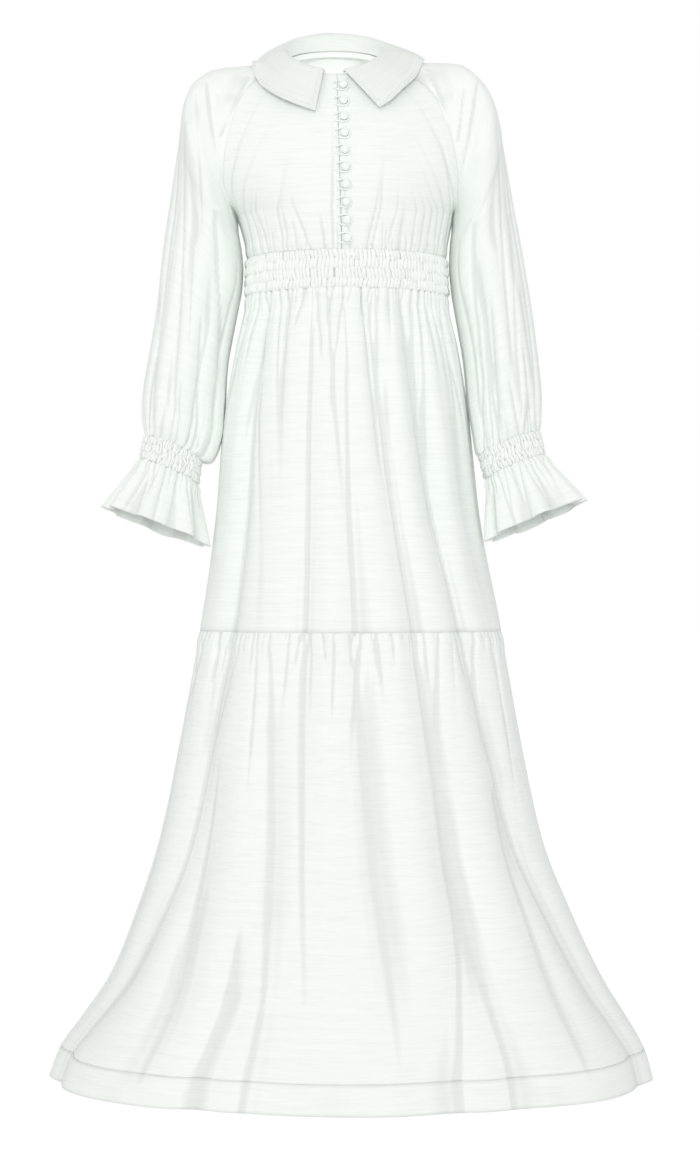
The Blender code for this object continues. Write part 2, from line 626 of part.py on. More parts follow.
def make_button_stand(material, collection):
    """The strip behind the opening that the buttons are sewn through."""
    rows = FRONT
    grids = []
    for side in (-1, 1):
        share = np.array([0.0, 0.5, 1.0]) * 0.12
        grid = panel_half(rows, side, share, False)
        normals = panel_normals(rows, side, np.linspace(0, 1, 51), False)[:, [0, 3, 6]]
        grids.append((grid, normals))
    points = np.concatenate([grids[0][0][:, ::-1], grids[1][0][:, 1:]], axis=1)
    normals = np.concatenate([grids[0][1][:, ::-1], grids[1][1][:, 1:]], axis=1)
    depth = CLOTH + REST_GAP + 1.2 * np.array(BODICE_GATHER)[:, None, None]
    outer = points - normals * depth
    inner = outer - normals * CLOTH
    for layer in (outer, inner):
        layer[0, :, 2] -= 0.004
        layer[-1, :, 2] += 0.004
    return solid_between("button_stand", outer, inner, False, material, collection)


def make_wrist(name, top, low, side, material, collection):
    """A smocked wristband: raised puffs over a plain inside."""
    columns = 2 * WRIST_PUCKERS
    first, last = ring_points(top, side, columns), ring_points(low, side, columns)
    axis = along_axis(first, last.mean(axis=0))
    end_axis = along_axis(last, first.mean(axis=0))
    first, last = first + axis * SEAM_GAP / 2, last + end_axis * SEAM_GAP / 2
    share = np.linspace(0, 1, 2 * SMOCKED_WRIST_ROWS + 1)[:, None, None]
    base = first * (1 - share) + last * share
    out = unit(base - base.mean(axis=1, keepdims=True))
    raised = PUFF * smocked(columns, SMOCKED_WRIST_ROWS) - STITCH_DIP
    outer = base + out * raised[..., None]
    inner = (base - out * DOUBLE_CLOTH)[[0, -1]]
    return join_uneven(name, outer, inner, material, collection)


def make_ruffle(name, top, low, side, material, collection):
    """The flared end of the sleeve, its hem a wave round a wide ring."""
    columns = 4 * RUFFLE_WAVES
    first, last = ring_points(top, side, columns), ring_points(low, side, columns)
    first = first + along_axis(first, last.mean(axis=0)) * SEAM_GAP / 2
    share = np.array([0, 0.3, 0.65, 1.0])[:, None, None]
    grid = first * (1 - share) + last * share
    out = unit(grid - grid.mean(axis=1, keepdims=True))
    angle = np.linspace(0, 2 * math.pi, columns, endpoint=False)
    wave = np.cos(RUFFLE_WAVES * angle + 0.6) + 0.35 * np.cos((RUFFLE_WAVES - 3) * angle + 2.0)
    depth = np.array([0.0004, 0.0028, 0.0050, 0.0068])[:, None]
    grid = grid + out * (depth * wave)[..., None]
    normals = own_normals(grid)
    normals[0] = in_plane(normals[0], grid[0])
    return solid_between(name, grid, grid - normals * CLOTH, True, material, collection)


def neckline(angle):
    """Points of the neckline at angles in degrees round it, and the outward level direction."""
    turn = np.radians(angle)
    front = np.sin(turn) > 0
    deep = np.where(front, NECK_FRONT, NECK_BACK)
    rise = np.where(front, -NECK_FRONT_DROP * np.abs(np.sin(turn)) ** 1.5,
                    NECK_BACK_RISE * np.abs(np.sin(turn)))
    x = NECK_X + NECK_HALF_WIDTH * np.cos(turn)
    points = np.stack([x, -deep * np.sin(turn), rise], axis=-1)
    out = unit(np.stack([np.cos(turn) / NECK_HALF_WIDTH, -np.sin(turn) / deep, 0 * turn], axis=-1))
    return points, out


def pushed_clear(points, trees):
    """The points moved forwards, upwards or backwards until they are clear of the cloth.

    A point before the shoulder's ridge moves forwards and a point behind it moves backwards, so that
    the front view keeps its outline. Each point also looks a little to its sides, because the collar
    runs straight between its points.
    """
    moved = points.copy()
    for k, point in enumerate(points):
        spot = Vector(point)
        way = Vector((0, math.tanh((spot.y - SIDE_Y) / COLLAR_RIDGE), COLLAR_RISE)).normalized()
        level = Vector((1, 0, 0))
        other = way.cross(level)
        reach = 0.0
        for aside in (Vector(), level, -level, other, -other):
            beside = spot + aside * COLLAR_LOOK
            for tree in trees:
                hit, normal, _, _ = tree.ray_cast(beside + way * COLLAR_SEEK, -way, COLLAR_SEEK)
                if hit is not None:
                    slant = max(abs(normal.dot(way)), 0.35)
                    reach = max(reach, (hit - beside).dot(way) + COLLAR_CLEAR / slant)
        moved[k] = spot + way * reach
    return moved


def make_collar(carriers, material, collection):
    """The fold-over collar: a stand up from the neckline, a roll, and a fall that lies on the cloth."""
    graph = bpy.context.evaluated_depsgraph_get()
    trees = [BVHTree.FromObject(obj, graph) for obj in carriers]
    angle = np.linspace(COLLAR[0].angle, COLLAR[-1].angle, COLLAR_COLUMNS + 1)
    base, out = neckline(angle)
    stand = column(COLLAR, "stand", angle, "angle")
    tip = [column(COLLAR, field, angle, "angle") for field in ("edge_x", "edge_y", "edge_z")]
    tip = np.stack(tip, axis=-1)
    up = np.array([0.0, 0.0, 1.0])
    roll = base + out * 0.0065 + up * (stand + 0.0012)[:, None]
    rows = [base + out * 0.0016 + up * 0.0009,
            base + out * 0.0030 + up * (0.0018 + 0.6 * stand)[:, None], roll]
    for share in (0.14, 0.4, 0.7, 1.0):
        line = roll + (tip - roll) * share
        line = line + (out * 0.010 + up * 0.004) * 4 * share * (1 - share) * (stand / 0.0245)[:, None]
        rows.append(pushed_clear(line, trees))
    lower = np.stack(rows)
    normals = normals_of(lower, False)
    if normals[-2, :, 2].mean() < 0:
        normals = -normals
    upper = lower + normals * DOUBLE_CLOTH
    return solid_between("collar", upper, lower, False, material, collection)


def make_binding(material, collection):
    """The narrow binding inside the back of the neck."""
    angle = np.linspace(221, 319, 15)
    base, out = neckline(angle)
    up = np.array([0.0, 0.0, 1.0])
    inset = CLOTH + REST_GAP
    outer = np.stack([base - out * inset - up * 0.0015, base - out * (inset + 0.0004) - up * 0.0075])
    inner = outer - out[None] * CLOTH
    return solid_between("neck_binding", outer, inner, False, material, collection)


def on_front(x, z, trees):
    """The outermost point of the front at a place in front view, and the outward direction there."""
    best, facing = None, None
    for tree in trees:
        hit, normal, _, _ = tree.ray_cast(Vector((x, -0.3, z)), Vector((0, 1, 0)))
        if hit is not None and (best is None or hit.y < best.y):
            best, facing = hit, normal
    return best, facing


def make_buttons(fronts, material, collection):
    """Ten cloth-covered buttons on the left front, each in a cloth loop from the right front's edge."""
    graph = bpy.context.evaluated_depsgraph_get()
    trees = [BVHTree.FromObject(obj, graph) for obj in fronts]
    for number in range(1, BUTTONS + 1):
        share = (number - 1) / (BUTTONS - 1)
        height = BUTTON_TOP_Z + (BUTTON_LOW_Z - BUTTON_TOP_Z) * share
        edge = float(opening_x(height))
        above, _ = on_front(edge + BUTTON_OFFSET, height + BUTTON_RADIUS, trees)
        below, _ = on_front(edge + BUTTON_OFFSET, height - BUTTON_RADIUS, trees)
        up = (above - below).normalized()
        across = Vector((1, 0, 0))
        out = across.cross(up).normalized()
        seat = (above + below) / 2
        name = f"button_{number:02d}"
        mesh = bpy.data.meshes.new(name)
        shape = bmesh.new()
        bmesh.ops.create_uvsphere(shape, u_segments=8, v_segments=5, radius=1.0)
        centre = seat + out * (BUTTON_HEIGHT / 2 + REST_GAP)
        for vert in shape.verts:
            x, y, z = vert.co
            level = across * x * BUTTON_RADIUS + up * y * BUTTON_RADIUS
            vert.co = centre + level + out * z * BUTTON_HEIGHT / 2
        outward_mesh(shape, mesh)
        mesh.shade_smooth()
        add_object(name, mesh, material, collection)
        make_loop(number, edge, height, trees, material, collection)


def make_loop(number, edge, height, trees, material, collection):
    """A cloth loop: two legs from the opening's edge and a half turn round the button."""
    middle = edge + BUTTON_OFFSET
    route = [(edge - 0.0040, height + 0.0050), (edge + 0.0020, height + 0.0062)]
    for turn in np.radians(np.linspace(80, -80, 5)):
        route.append((middle + math.cos(turn) * LOOP_REACH, height + math.sin(turn) * LOOP_REACH))
    route.extend([(edge + 0.0020, height - 0.0062), (edge - 0.0040, height - 0.0050)])
    curve = bpy.data.curves.new(f"button_loop_{number:02d}", "CURVE")
    curve.dimensions = "3D"
    curve.bevel_depth = LOOP_RADIUS
    curve.bevel_resolution = 0
    curve.use_fill_caps = True
    spline = curve.splines.new("POLY")
    spline.points.add(len(route) - 1)
    for point, (x, z) in zip(spline.points, route):
        place, facing = on_front(x, z, trees)
        point.co = (*(place + facing * (LOOP_RADIUS + REST_GAP)), 1.0)
    return add_object(curve.name, curve, material, collection)


def main():
    """Builds the garment's pieces."""
    clear_scene()
    collection = bpy.data.collections.new("abaya")
    bpy.context.scene.collection.children.link(collection)
    cloth = cloth_material("slub_cloth", (0.90, 0.93, 0.90), 0.9)
    smocking = cloth_material("smocked_cloth", (0.91, 0.94, 0.91), 0.9)
    trim = cloth_material("covered_trim", (0.86, 0.90, 0.87), 0.8)
    fronts_and_back = make_bodice(cloth, collection)
    sleeves = []
    sides = (
        ("right", -1, RIGHT_SLEEVE, RIGHT_WRIST, RIGHT_RUFFLE),
        ("left", 1, LEFT_SLEEVE, LEFT_WRIST, LEFT_RUFFLE),
    )
    for name, side, rings, wrist, ruffle in sides:
        sleeves.append(make_sleeve(f"sleeve_{name}", rings, side, cloth, collection))
        make_wrist(f"wristband_{name}", rings[-1], wrist, side, smocking, collection)
        make_ruffle(f"wrist_ruffle_{name}", wrist, ruffle, side, cloth, collection)
    bpy.context.view_layer.update()
    make_collar(fronts_and_back + sleeves, cloth, collection)
    make_binding(trim, collection)
    make_button_stand(cloth, collection)
    make_buttons(fronts_and_back[:2], trim, collection)
    make_waistband(smocking, collection)
    make_skirt(cloth, collection)


main()
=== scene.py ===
"""Looks of the white tiered abaya.

Every piece of cloth is a thin shell on the form of its solid: the same sections and seams, with finer
gathers, creases, smocking, stitching and a slub jersey finish. Metres, +Z up, the front faces -Y.
"right" and "left" are the wearer's, so the right sleeve is at -X.
"""

import logging
import math
from dataclasses import dataclass
from enum import Enum
from typing import NamedTuple, Sequence

import bpy
import numpy as np
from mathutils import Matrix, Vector
from mathutils.bvhtree import BVHTree


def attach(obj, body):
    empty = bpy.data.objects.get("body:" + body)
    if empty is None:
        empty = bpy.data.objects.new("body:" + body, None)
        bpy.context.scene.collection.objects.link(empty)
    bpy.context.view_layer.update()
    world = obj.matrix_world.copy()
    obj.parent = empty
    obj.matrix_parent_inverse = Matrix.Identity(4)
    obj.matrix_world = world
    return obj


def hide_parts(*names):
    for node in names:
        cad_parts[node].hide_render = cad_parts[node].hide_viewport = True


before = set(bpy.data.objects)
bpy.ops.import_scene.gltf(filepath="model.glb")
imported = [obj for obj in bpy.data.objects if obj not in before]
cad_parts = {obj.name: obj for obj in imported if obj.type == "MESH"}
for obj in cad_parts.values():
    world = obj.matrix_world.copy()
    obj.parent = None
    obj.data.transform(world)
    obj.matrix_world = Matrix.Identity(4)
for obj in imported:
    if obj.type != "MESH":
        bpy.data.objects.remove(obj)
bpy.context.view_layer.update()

LOG = logging.getLogger("abaya")

SEAM_GAP = 0.0004
CLOTH = 0.0009
DOUBLE_CLOTH = 0.0016
SIDE_Y = 0.004
WAIST_TOP = -0.280
WAIST_LOW = -0.330
TIER_SEAM = -0.798
HEM_SEAM = -1.381
HEM_LOW = -1.422
OPENING_TOP_X = -0.0107
OPENING_LOW_X = -0.0038
NECK_X = -0.0148
NECK_HALF_WIDTH = 0.066
NECK_FRONT = 0.075
NECK_BACK = 0.058
NECK_FRONT_DROP = 0.035
NECK_BACK_RISE = 0.025


class Section(NamedTuple):
    """A level section of the skirt: an ellipse with its own front and back depth."""

    z: float
    centre: float
    half_width: float
    front: float
    back: float


SKIRT = (
    Section(-0.280, 0.0020, 0.1375, 0.115, 0.089),
    Section(-0.305, 0.0022, 0.1386, 0.1156, 0.0906),
    Section(-0.330, 0.0025, 0.1395, 0.116, 0.092),
    Section(-0.400, 0.0020, 0.1540, 0.130, 0.116),
    Section(-0.500, 0.0020, 0.1700, 0.148, 0.145),
    Section(-0.640, 0.0040, 0.1840, 0.164, 0.170),
    Section(-0.798, 0.0078, 0.2110, 0.182, 0.194),
    Section(-0.960, 0.0080, 0.2400, 0.199, 0.213),
    Section(-1.090, 0.0090, 0.2680, 0.212, 0.226),
    Section(-1.190, 0.0130, 0.3040, 0.221, 0.238),
    Section(-1.285, 0.0160, 0.3460, 0.230, 0.254),
    Section(-1.345, 0.0140, 0.3850, 0.239, 0.270),
    Section(-1.381, 0.0110, 0.4080, 0.245, 0.280),
    Section(-1.422, 0.0090, 0.4220, 0.250, 0.288),
)


class Fold(NamedTuple):
    """A long trough of the skirt.

    Its place is in degrees round the ring (0 at the left side, 90 front, 180 right, 270 back) at the
    waist, the tier seam, the knee and the hem. It runs from the height top to low, is depth deep and
    half_width degrees wide to each side, and has a sharp crease of its own depth along its middle.
    """

    waist: float
    seam: float
    knee: float
    hem: float
    top: float
    low: float
    depth: float
    half_width: float
    crease: float


FOLD_HEIGHTS = (WAIST_LOW, TIER_SEAM, -1.09, HEM_SEAM)
FOLDS = (
    Fold(142, 144, 148, 168, -0.31, -1.44, 0.015, 6, 0.0040),
    Fold(138, 138, 138, 133, -0.95, -1.40, 0.013, 6, 0.0030),
    Fold(119, 119, 114, 110, -0.80, -1.45, 0.010, 6, 0.0020),
    Fold(107, 107, 104, 100, -0.34, -1.30, 0.008, 6, 0.0024),
    Fold(90, 88, 84, 81, -0.34, -1.40, 0.009, 7, 0.0018),
    Fold(78, 65, 61, 70, -0.31, -1.45, 0.014, 6, 0.0026),
    Fold(60, 60, 59, 59, -1.00, -1.44, 0.011, 5, 0.0020),
    Fold(58, 42, 31, 17, -0.31, -1.44, 0.016, 6, 0.0040),
    Fold(40, 40, 38, 40, -1.00, -1.40, 0.012, 5, 0.0020),
    Fold(120, 120, 120, 120, -1.16, -1.50, 0.014, 4, 0.0030),
    Fold(205, 208, 210, 202, -0.33, -1.44, 0.014, 7, 0.0030),
    Fold(228, 226, 224, 220, -0.80, -1.44, 0.013, 6, 0.0024),
    Fold(243, 244, 243, 240, -0.33, -1.44, 0.013, 7, 0.0030),
    Fold(262, 263, 262, 260, -0.33, -1.42, 0.012, 7, 0.0020),
    Fold(279, 281, 281, 284, -0.33, -1.44, 0.013, 7, 0.0034),
    Fold(298, 300, 302, 307, -0.80, -1.44, 0.013, 6, 0.0022),
    Fold(315, 317, 319, 325, -0.33, -1.44, 0.014, 7, 0.0036),
    Fold(334, 334, 336, 345, -0.60, -1.44, 0.012, 6, 0.0024),
)


class Row(NamedTuple):
    """A row of the bodice: its seam points' middle and half distance, depths, heights and turn."""

    lean: float
    half: float
    seam_y: float
    seam_z: float
    mid_y: float
    mid_z: float
    turn: float


FRONT = (
    Row(-0.0140, 0.0540, -0.043, -0.0155, -0.075, -0.035, 55),
    Row(-0.0115, 0.1040, -0.046, -0.034, -0.086, -0.060, 50),
    Row(-0.0098, 0.1330, -0.058, -0.062, -0.097, -0.086, 50),
    Row(-0.0085, 0.1470, -0.072, -0.101, -0.109, -0.116, 55),
    Row(-0.0070, 0.1570, -0.076, -0.140, -0.118, -0.146, 62),
    Row(-0.0056, 0.1610, -0.062, -0.176, -0.122, -0.176, 70),
    Row(-0.0030, 0.1580, -0.036, -0.203, -0.123, -0.203, 80),
    Row(0.0000, 0.1505, SIDE_Y, -0.222, -0.122, -0.228, 90),
    Row(0.0014, 0.1440, SIDE_Y, -0.248, -0.119, -0.252, 90),
    Row(0.0020, 0.1375, SIDE_Y, WAIST_TOP, -0.111, WAIST_TOP, 90),
)
BACK = (
    Row(-0.0140, 0.0520, 0.036, 0.011, 0.058, 0.025, 55),
    Row(-0.0115, 0.1000, 0.052, -0.013, 0.071, -0.002, 50),
    Row(-0.0098, 0.1300, 0.070, -0.050, 0.081, -0.040, 50),
    Row(-0.0085, 0.1460, 0.083, -0.092, 0.090, -0.080, 55),
    Row(-0.0070, 0.1550, 0.085, -0.132, 0.096, -0.120, 62),
    Row(-0.0056, 0.1580, 0.068, -0.170, 0.099, -0.160, 70),
    Row(-0.0030, 0.1560, 0.042, -0.200, 0.099, -0.195, 80),
    Row(0.0000, 0.1505, SIDE_Y, -0.222, 0.098, -0.224, 90),
    Row(0.0014, 0.1440, SIDE_Y, -0.248, 0.096, -0.250, 90),
    Row(0.0020, 0.1375, SIDE_Y, WAIST_TOP, 0.093, WAIST_TOP, 90),
)
ARMPIT_ROW = 7
LAST_ROW = len(FRONT) - 1


class Ring(NamedTuple):
    """A ring of a sleeve: its outer and inner ends, half depth, bow outwards and centre depth."""

    outer: float
    outer_z: float
    inner: float
    inner_z: float
    half_depth: float
    bow: float
    centre_y: float


RIGHT_SLEEVE = (
    Ring(0.164, -0.014, 0.1500, -0.236, 0.082, 0.036, 0.004),
    Ring(0.199, -0.028, 0.1485, -0.248, 0.083, 0.036, 0.004),
    Ring(0.217, -0.053, 0.1460, -0.262, 0.078, 0.030, 0.004),
    Ring(0.227, -0.089, 0.1440, -0.277, 0.071, 0.022, 0.004),
    Ring(0.2345, -0.133, 0.1430, -0.297, 0.065, 0.011, 0.004),
    Ring(0.244, -0.196, 0.1450, -0.325, 0.061, 0.0, 0.004),
    Ring(0.253, -0.259, 0.1510, -0.361, 0.060, 0.0, 0.002),
    Ring(0.265, -0.357, 0.1610, -0.422, 0.061, 0.0, -0.004),
    Ring(0.280, -0.455, 0.1670, -0.490, 0.060, 0.0, -0.016),
    Ring(0.282, -0.497, 0.1700, -0.529, 0.056, 0.0, -0.024),
    Ring(0.279, -0.519, 0.1830, -0.563, 0.046, 0.0, -0.028),
    Ring(0.276, -0.530, 0.2015, -0.561, 0.034, 0.0, -0.030),
)
LEFT_SLEEVE = (
    Ring(0.147, -0.008, 0.1505, -0.229, 0.082, 0.030, 0.004),
    Ring(0.175, -0.022, 0.1500, -0.242, 0.083, 0.034, 0.004),
    Ring(0.196, -0.047, 0.1480, -0.256, 0.078, 0.030, 0.004),
    Ring(0.213, -0.089, 0.1470, -0.274, 0.071, 0.022, 0.004),
    Ring(0.223, -0.133, 0.1470, -0.295, 0.065, 0.011, 0.004),
    Ring(0.2345, -0.196, 0.1500, -0.327, 0.061, 0.0, 0.004),
    Ring(0.246, -0.259, 0.1560, -0.364, 0.060, 0.0, 0.002),
    Ring(0.262, -0.357, 0.1650, -0.422, 0.061, 0.0, -0.004),
    Ring(0.273, -0.455, 0.1700, -0.487, 0.060, 0.0, -0.016),
    Ring(0.273, -0.497, 0.1755, -0.523, 0.056, 0.0, -0.024),
    Ring(0.2715, -0.515, 0.1810, -0.553, 0.046, 0.0, -0.028),
    Ring(0.268, -0.524, 0.1880, -0.554, 0.034, 0.0, -0.030),
)
RIGHT_WRIST = Ring(0.282, -0.560, 0.2060, -0.593, 0.036, 0.0, -0.035)
LEFT_WRIST = Ring(0.275, -0.555, 0.1970, -0.586, 0.036, 0.0, -0.035)
RIGHT_RUFFLE = Ring(0.332, -0.627, 0.1890, -0.680, 0.050, 0.0, -0.050)
LEFT_RUFFLE = Ring(0.331, -0.618, 0.1950, -0.674, 0.050, 0.0, -0.050)
NOD = 0.16
SHOULDER_COLUMNS = 30


class SleeveFold(NamedTuple):
    """A long trough of a sleeve: its place round the ring at its start and end, and its run."""

    start_at: float
    end_at: float
    start: float
    end: float
    depth: float
    half_width: float


SLEEVE_FOLDS = (
    SleeveFold(0.11, 0.10, 0.36, 1.00, 0.008, 0.045),
    SleeveFold(0.20, 0.21, 0.35, 0.85, 0.006, 0.04),
    SleeveFold(0.30, 0.33, 0.38, 1.00, 0.008, 0.045),
    SleeveFold(0.40, 0.42, 0.55, 1.00, 0.007, 0.04),
    SleeveFold(0.60, 0.58, 0.45, 1.00, 0.007, 0.045),
    SleeveFold(0.72, 0.73, 0.36, 0.95, 0.008, 0.045),
    SleeveFold(0.88, 0.88, 0.36, 1.00, 0.007, 0.045),
)
RIGHT_CREASES = (
    SleeveFold(0.085, 0.075, 0.33, 1.00, 0.0035, 0.010),
    SleeveFold(0.415, 0.420, 0.40, 1.00, 0.0024, 0.009),
    SleeveFold(0.600, 0.590, 0.38, 0.90, 0.0028, 0.010),
    SleeveFold(0.690, 0.700, 0.34, 0.85, 0.0024, 0.010),
    SleeveFold(0.760, 0.745, 0.41, 1.00, 0.0030, 0.010),
    SleeveFold(0.860, 0.880, 0.35, 0.95, 0.0026, 0.010),
)
LEFT_CREASES = (
    SleeveFold(0.070, 0.080, 0.38, 1.00, 0.0024, 0.010),
    SleeveFold(0.400, 0.410, 0.36, 0.90, 0.0026, 0.010),
    SleeveFold(0.610, 0.600, 0.41, 1.00, 0.0026, 0.010),
    SleeveFold(0.680, 0.690, 0.35, 0.95, 0.0026, 0.010),
    SleeveFold(0.780, 0.760, 0.34, 0.90, 0.0028, 0.010),
    SleeveFold(0.880, 0.890, 0.40, 1.00, 0.0026, 0.010),
)


class Drape(NamedTuple):
    """A crease that hangs down a sleeve: where it runs in front view, its depth and half width.

    Its shaded side is 1 towards the wearer's left, -1 towards the right.
    """

    top_x: float
    mid_x: float
    low_x: float
    top_z: float
    low_z: float
    depth: float
    half_width: float
    shaded: int


RIGHT_DRAPES = (
    Drape(-0.1320, -0.1534, -0.1700, -0.032, -0.124, 0.0018, 0.0036, -1),
    Drape(-0.1900, -0.1770, -0.1530, -0.040, -0.244, 0.0030, 0.0040, 1),
    Drape(-0.2050, -0.1985, -0.1950, -0.056, -0.260, 0.0014, 0.0036, -1),
    Drape(-0.2200, -0.2270, -0.2345, -0.096, -0.515, 0.0036, 0.0034, -1),
    Drape(-0.1816, -0.1715, -0.1690, -0.216, -0.470, 0.0034, 0.0042, 1),
    Drape(-0.2100, -0.2130, -0.2190, -0.270, -0.490, 0.0014, 0.0036, 1),
    Drape(-0.1990, -0.1984, -0.1980, -0.360, -0.560, 0.0028, 0.0030, -1),
    Drape(-0.2560, -0.2655, -0.2715, -0.300, -0.524, 0.0032, 0.0034, -1),
)
LEFT_DRAPES = (
    Drape(0.1120, 0.1400, 0.1530, -0.020, -0.160, 0.0018, 0.0036, 1),
    Drape(0.1812, 0.1680, 0.1537, -0.040, -0.222, 0.0034, 0.0038, -1),
    Drape(0.1620, 0.1590, 0.1540, -0.050, -0.130, 0.0014, 0.0028, 1),
    Drape(0.2080, 0.2191, 0.2282, -0.090, -0.430, 0.0030, 0.0032, 1),
    Drape(0.2310, 0.2360, 0.2430, -0.190, -0.500, 0.0018, 0.0040, -1),
    Drape(0.1780, 0.1770, 0.1860, -0.230, -0.470, 0.0016, 0.0040, 1),
    Drape(0.2010, 0.2060, 0.2100, -0.330, -0.540, 0.0028, 0.0030, -1),
    Drape(0.1810, 0.1850, 0.1930, -0.360, -0.570, 0.0026, 0.0032, 1),
)
BACK_SHIFT = 0.006


class CollarPoint(NamedTuple):
    """The collar at an angle round the neck: its stand's height and its outer edge."""

    angle: float
    stand: float
    edge_x: float
    edge_y: float
    edge_z: float


COLLAR = (
    CollarPoint(101, 0.0016, -0.0400, -0.106, -0.092),
    CollarPoint(118, 0.0025, -0.0660, -0.102, -0.082),
    CollarPoint(138, 0.0045, -0.0940, -0.089, -0.067),
    CollarPoint(158, 0.0080, -0.1150, -0.064, -0.048),
    CollarPoint(178, 0.0120, -0.1290, -0.022, -0.021),
    CollarPoint(205, 0.0180, -0.1230, 0.034, -0.004),
    CollarPoint(235, 0.0230, -0.0880, 0.071, -0.009),
    CollarPoint(270, 0.0245, -0.0130, 0.088, -0.018),
    CollarPoint(305, 0.0230, 0.0600, 0.071, -0.006),
    CollarPoint(335, 0.0180, 0.1010, 0.036, 0.008),
    CollarPoint(362, 0.0120, 0.1110, -0.012, -0.004),
    CollarPoint(382, 0.0080, 0.0980, -0.054, -0.034),
    CollarPoint(402, 0.0045, 0.0790, -0.083, -0.057),
    CollarPoint(422, 0.0025, 0.0600, -0.100, -0.078),
    CollarPoint(439, 0.0016, 0.0470, -0.105, -0.087),
)

FORWARDS = np.array([0.0, -1.0, 0.0])
UPWARDS = np.array([0.0, 0.0, 1.0])
TURN = 2 * math.pi
Colour = tuple[float, float, float]

# Neighbours' distance in points, the size that counts as a full hollow, and the axis.
HOLLOW_STEPS = ((1, 0.0005, 1), (2, 0.0011, 1), (4, 0.0026, 1), (8, 0.0070, 1), (2, 0.0016, 0))
HOLLOW_STRETCH = 28

# Sections of a stitch: share of its length, thickness and height in the thread's radii.
STITCH_SECTIONS = ((0.0, 0.35, -0.6), (0.25, 1.0, 0.5), (0.75, 1.0, 0.5), (1.0, 0.35, -0.6))

# Soft pulls of the bodice's armhole: share of the way across, reach in rows, tilt and depth.
ARMHOLE_PULLS = ((0.93, 3.2, 0.10, 0.0012), (0.80, 2.6, 0.16, 0.0006))

# Upright pulls of the bodice near its side: share of the way across and depth.
SIDE_PULLS = ((0.60, 0.0006), (0.73, 0.0014), (0.86, 0.0024), (0.95, 0.0020))

# Rows of the collar's stand: outwards from the neckline, upwards, and the share of the stand's height.
STAND_ROWS = ((0.0014, 0.0009, 0.0), (0.0022, 0.0012, 0.33), (0.0030, 0.0018, 0.66),
              (0.0044, 0.0016, 0.92), (0.0065, 0.0012, 1.0))

# The upper leg of a button loop: across from the opening's edge and up from the button's middle.
LOOP_LEG = ((-0.0046, 0.0040), (-0.0010, 0.0058), (0.0030, 0.0067))


class Side(Enum):
    """The wearer's side of a paired piece, as the sign of its X."""

    RIGHT = -1
    LEFT = 1

    @property
    def word(self) -> str:
        """The side's name in lower case."""
        return self.name.lower()


def smooth(x: np.ndarray, xs: Sequence[float], ys: Sequence[float]) -> np.ndarray:
    """Reads a cubic through points that never overshoots them.

    Each point's slope is the harmonic mean of its two neighbours' slopes, or level at a peak.

    Args:
        x: Where to read it.
        xs: The points' places, rising or falling.
        ys: The points' values.

    Returns:
        The value at each x.
    """
    xs, ys = np.asarray(xs, float), np.asarray(ys, float)
    if xs[0] > xs[-1]:
        xs, ys = xs[::-1], ys[::-1]
    steps = np.diff(xs)
    slopes = np.diff(ys) / steps
    bend = np.zeros_like(xs)
    same = slopes[1:] * slopes[:-1] > 0
    bend[1:-1][same] = 2 * slopes[1:][same] * slopes[:-1][same] / (slopes[1:] + slopes[:-1])[same]
    bend[0], bend[-1] = slopes[0], slopes[-1]
    x = np.clip(np.asarray(x, float), xs[0], xs[-1])
    at = np.clip(np.searchsorted(xs, x) - 1, 0, len(steps) - 1)
    t = (x - xs[at]) / steps[at]
    rise = (3 - 2 * t) * t * t
    ends = ys[at] * (1 - rise) + ys[at + 1] * rise
    return ends + steps[at] * t * (1 - t) * (bend[at] * (1 - t) - bend[at + 1] * t)


def read_table(table: Sequence[NamedTuple], at: np.ndarray, places: Sequence[float],
               *names: str) -> list[np.ndarray]:
    """The named columns of a table, read smoothly between the places of its rows."""
    return [smooth(at, places, [getattr(row, name) for row in table]) for name in names]


def bell(offset: np.ndarray, half_width: np.ndarray | float) -> np.ndarray:
    """A bell curve: one in the middle, and 1/e at its half width."""
    return np.exp(-((offset / half_width) ** 2))


def ramp(values: np.ndarray) -> np.ndarray:
    """The values, held between 0 and 1."""
    return np.clip(values, 0, 1)


def unit(vectors: np.ndarray) -> np.ndarray:
    """The vectors at length one."""
    return vectors / np.maximum(np.linalg.norm(vectors, axis=-1, keepdims=True), 1e-12)


def arc_lengths(grid: np.ndarray, axis: int = 0) -> np.ndarray:
    """The distance from the first point of each line along an axis of a grid, which starts with 0."""
    steps = np.linalg.norm(np.diff(grid, axis=axis), axis=-1)
    return np.concatenate([0 * steps.take([0], axis), steps.cumsum(axis=axis)], axis=axis)


def resample(line: np.ndarray, run: np.ndarray, at: np.ndarray) -> np.ndarray:
    """The values (n, 3) along a line whose points lie at the distances run, read at other ones."""
    return np.stack([np.interp(at, run, line[:, k]) for k in range(3)], axis=-1)


def shares_round(count: int) -> np.ndarray:
    """Each column's share of the way round a tube, from 0 to just under 1."""
    return np.arange(count) / count


def spline_rows(grid: np.ndarray, count: int) -> np.ndarray:
    """Fills in rows between those of a grid by a Catmull-Rom curve down each column.

    Args:
        grid: Points as (rows, columns, 3).
        count: How many rows to return.

    Returns:
        A grid of count rows, evenly spread over the old ones.
    """
    last = len(grid) - 1
    at = np.linspace(0, last, count)
    k = np.minimum(at.astype(int), last - 1)
    t = (at - k)[:, None, None]
    before, here = grid[np.maximum(k - 1, 0)], grid[k]
    there, after = grid[k + 1], grid[np.minimum(k + 2, last)]
    return 0.5 * (2 * here + (there - before) * t + (2 * before - 5 * here + 4 * there - after) * t**2
                  + (3 * here - before - 3 * there + after) * t**3)


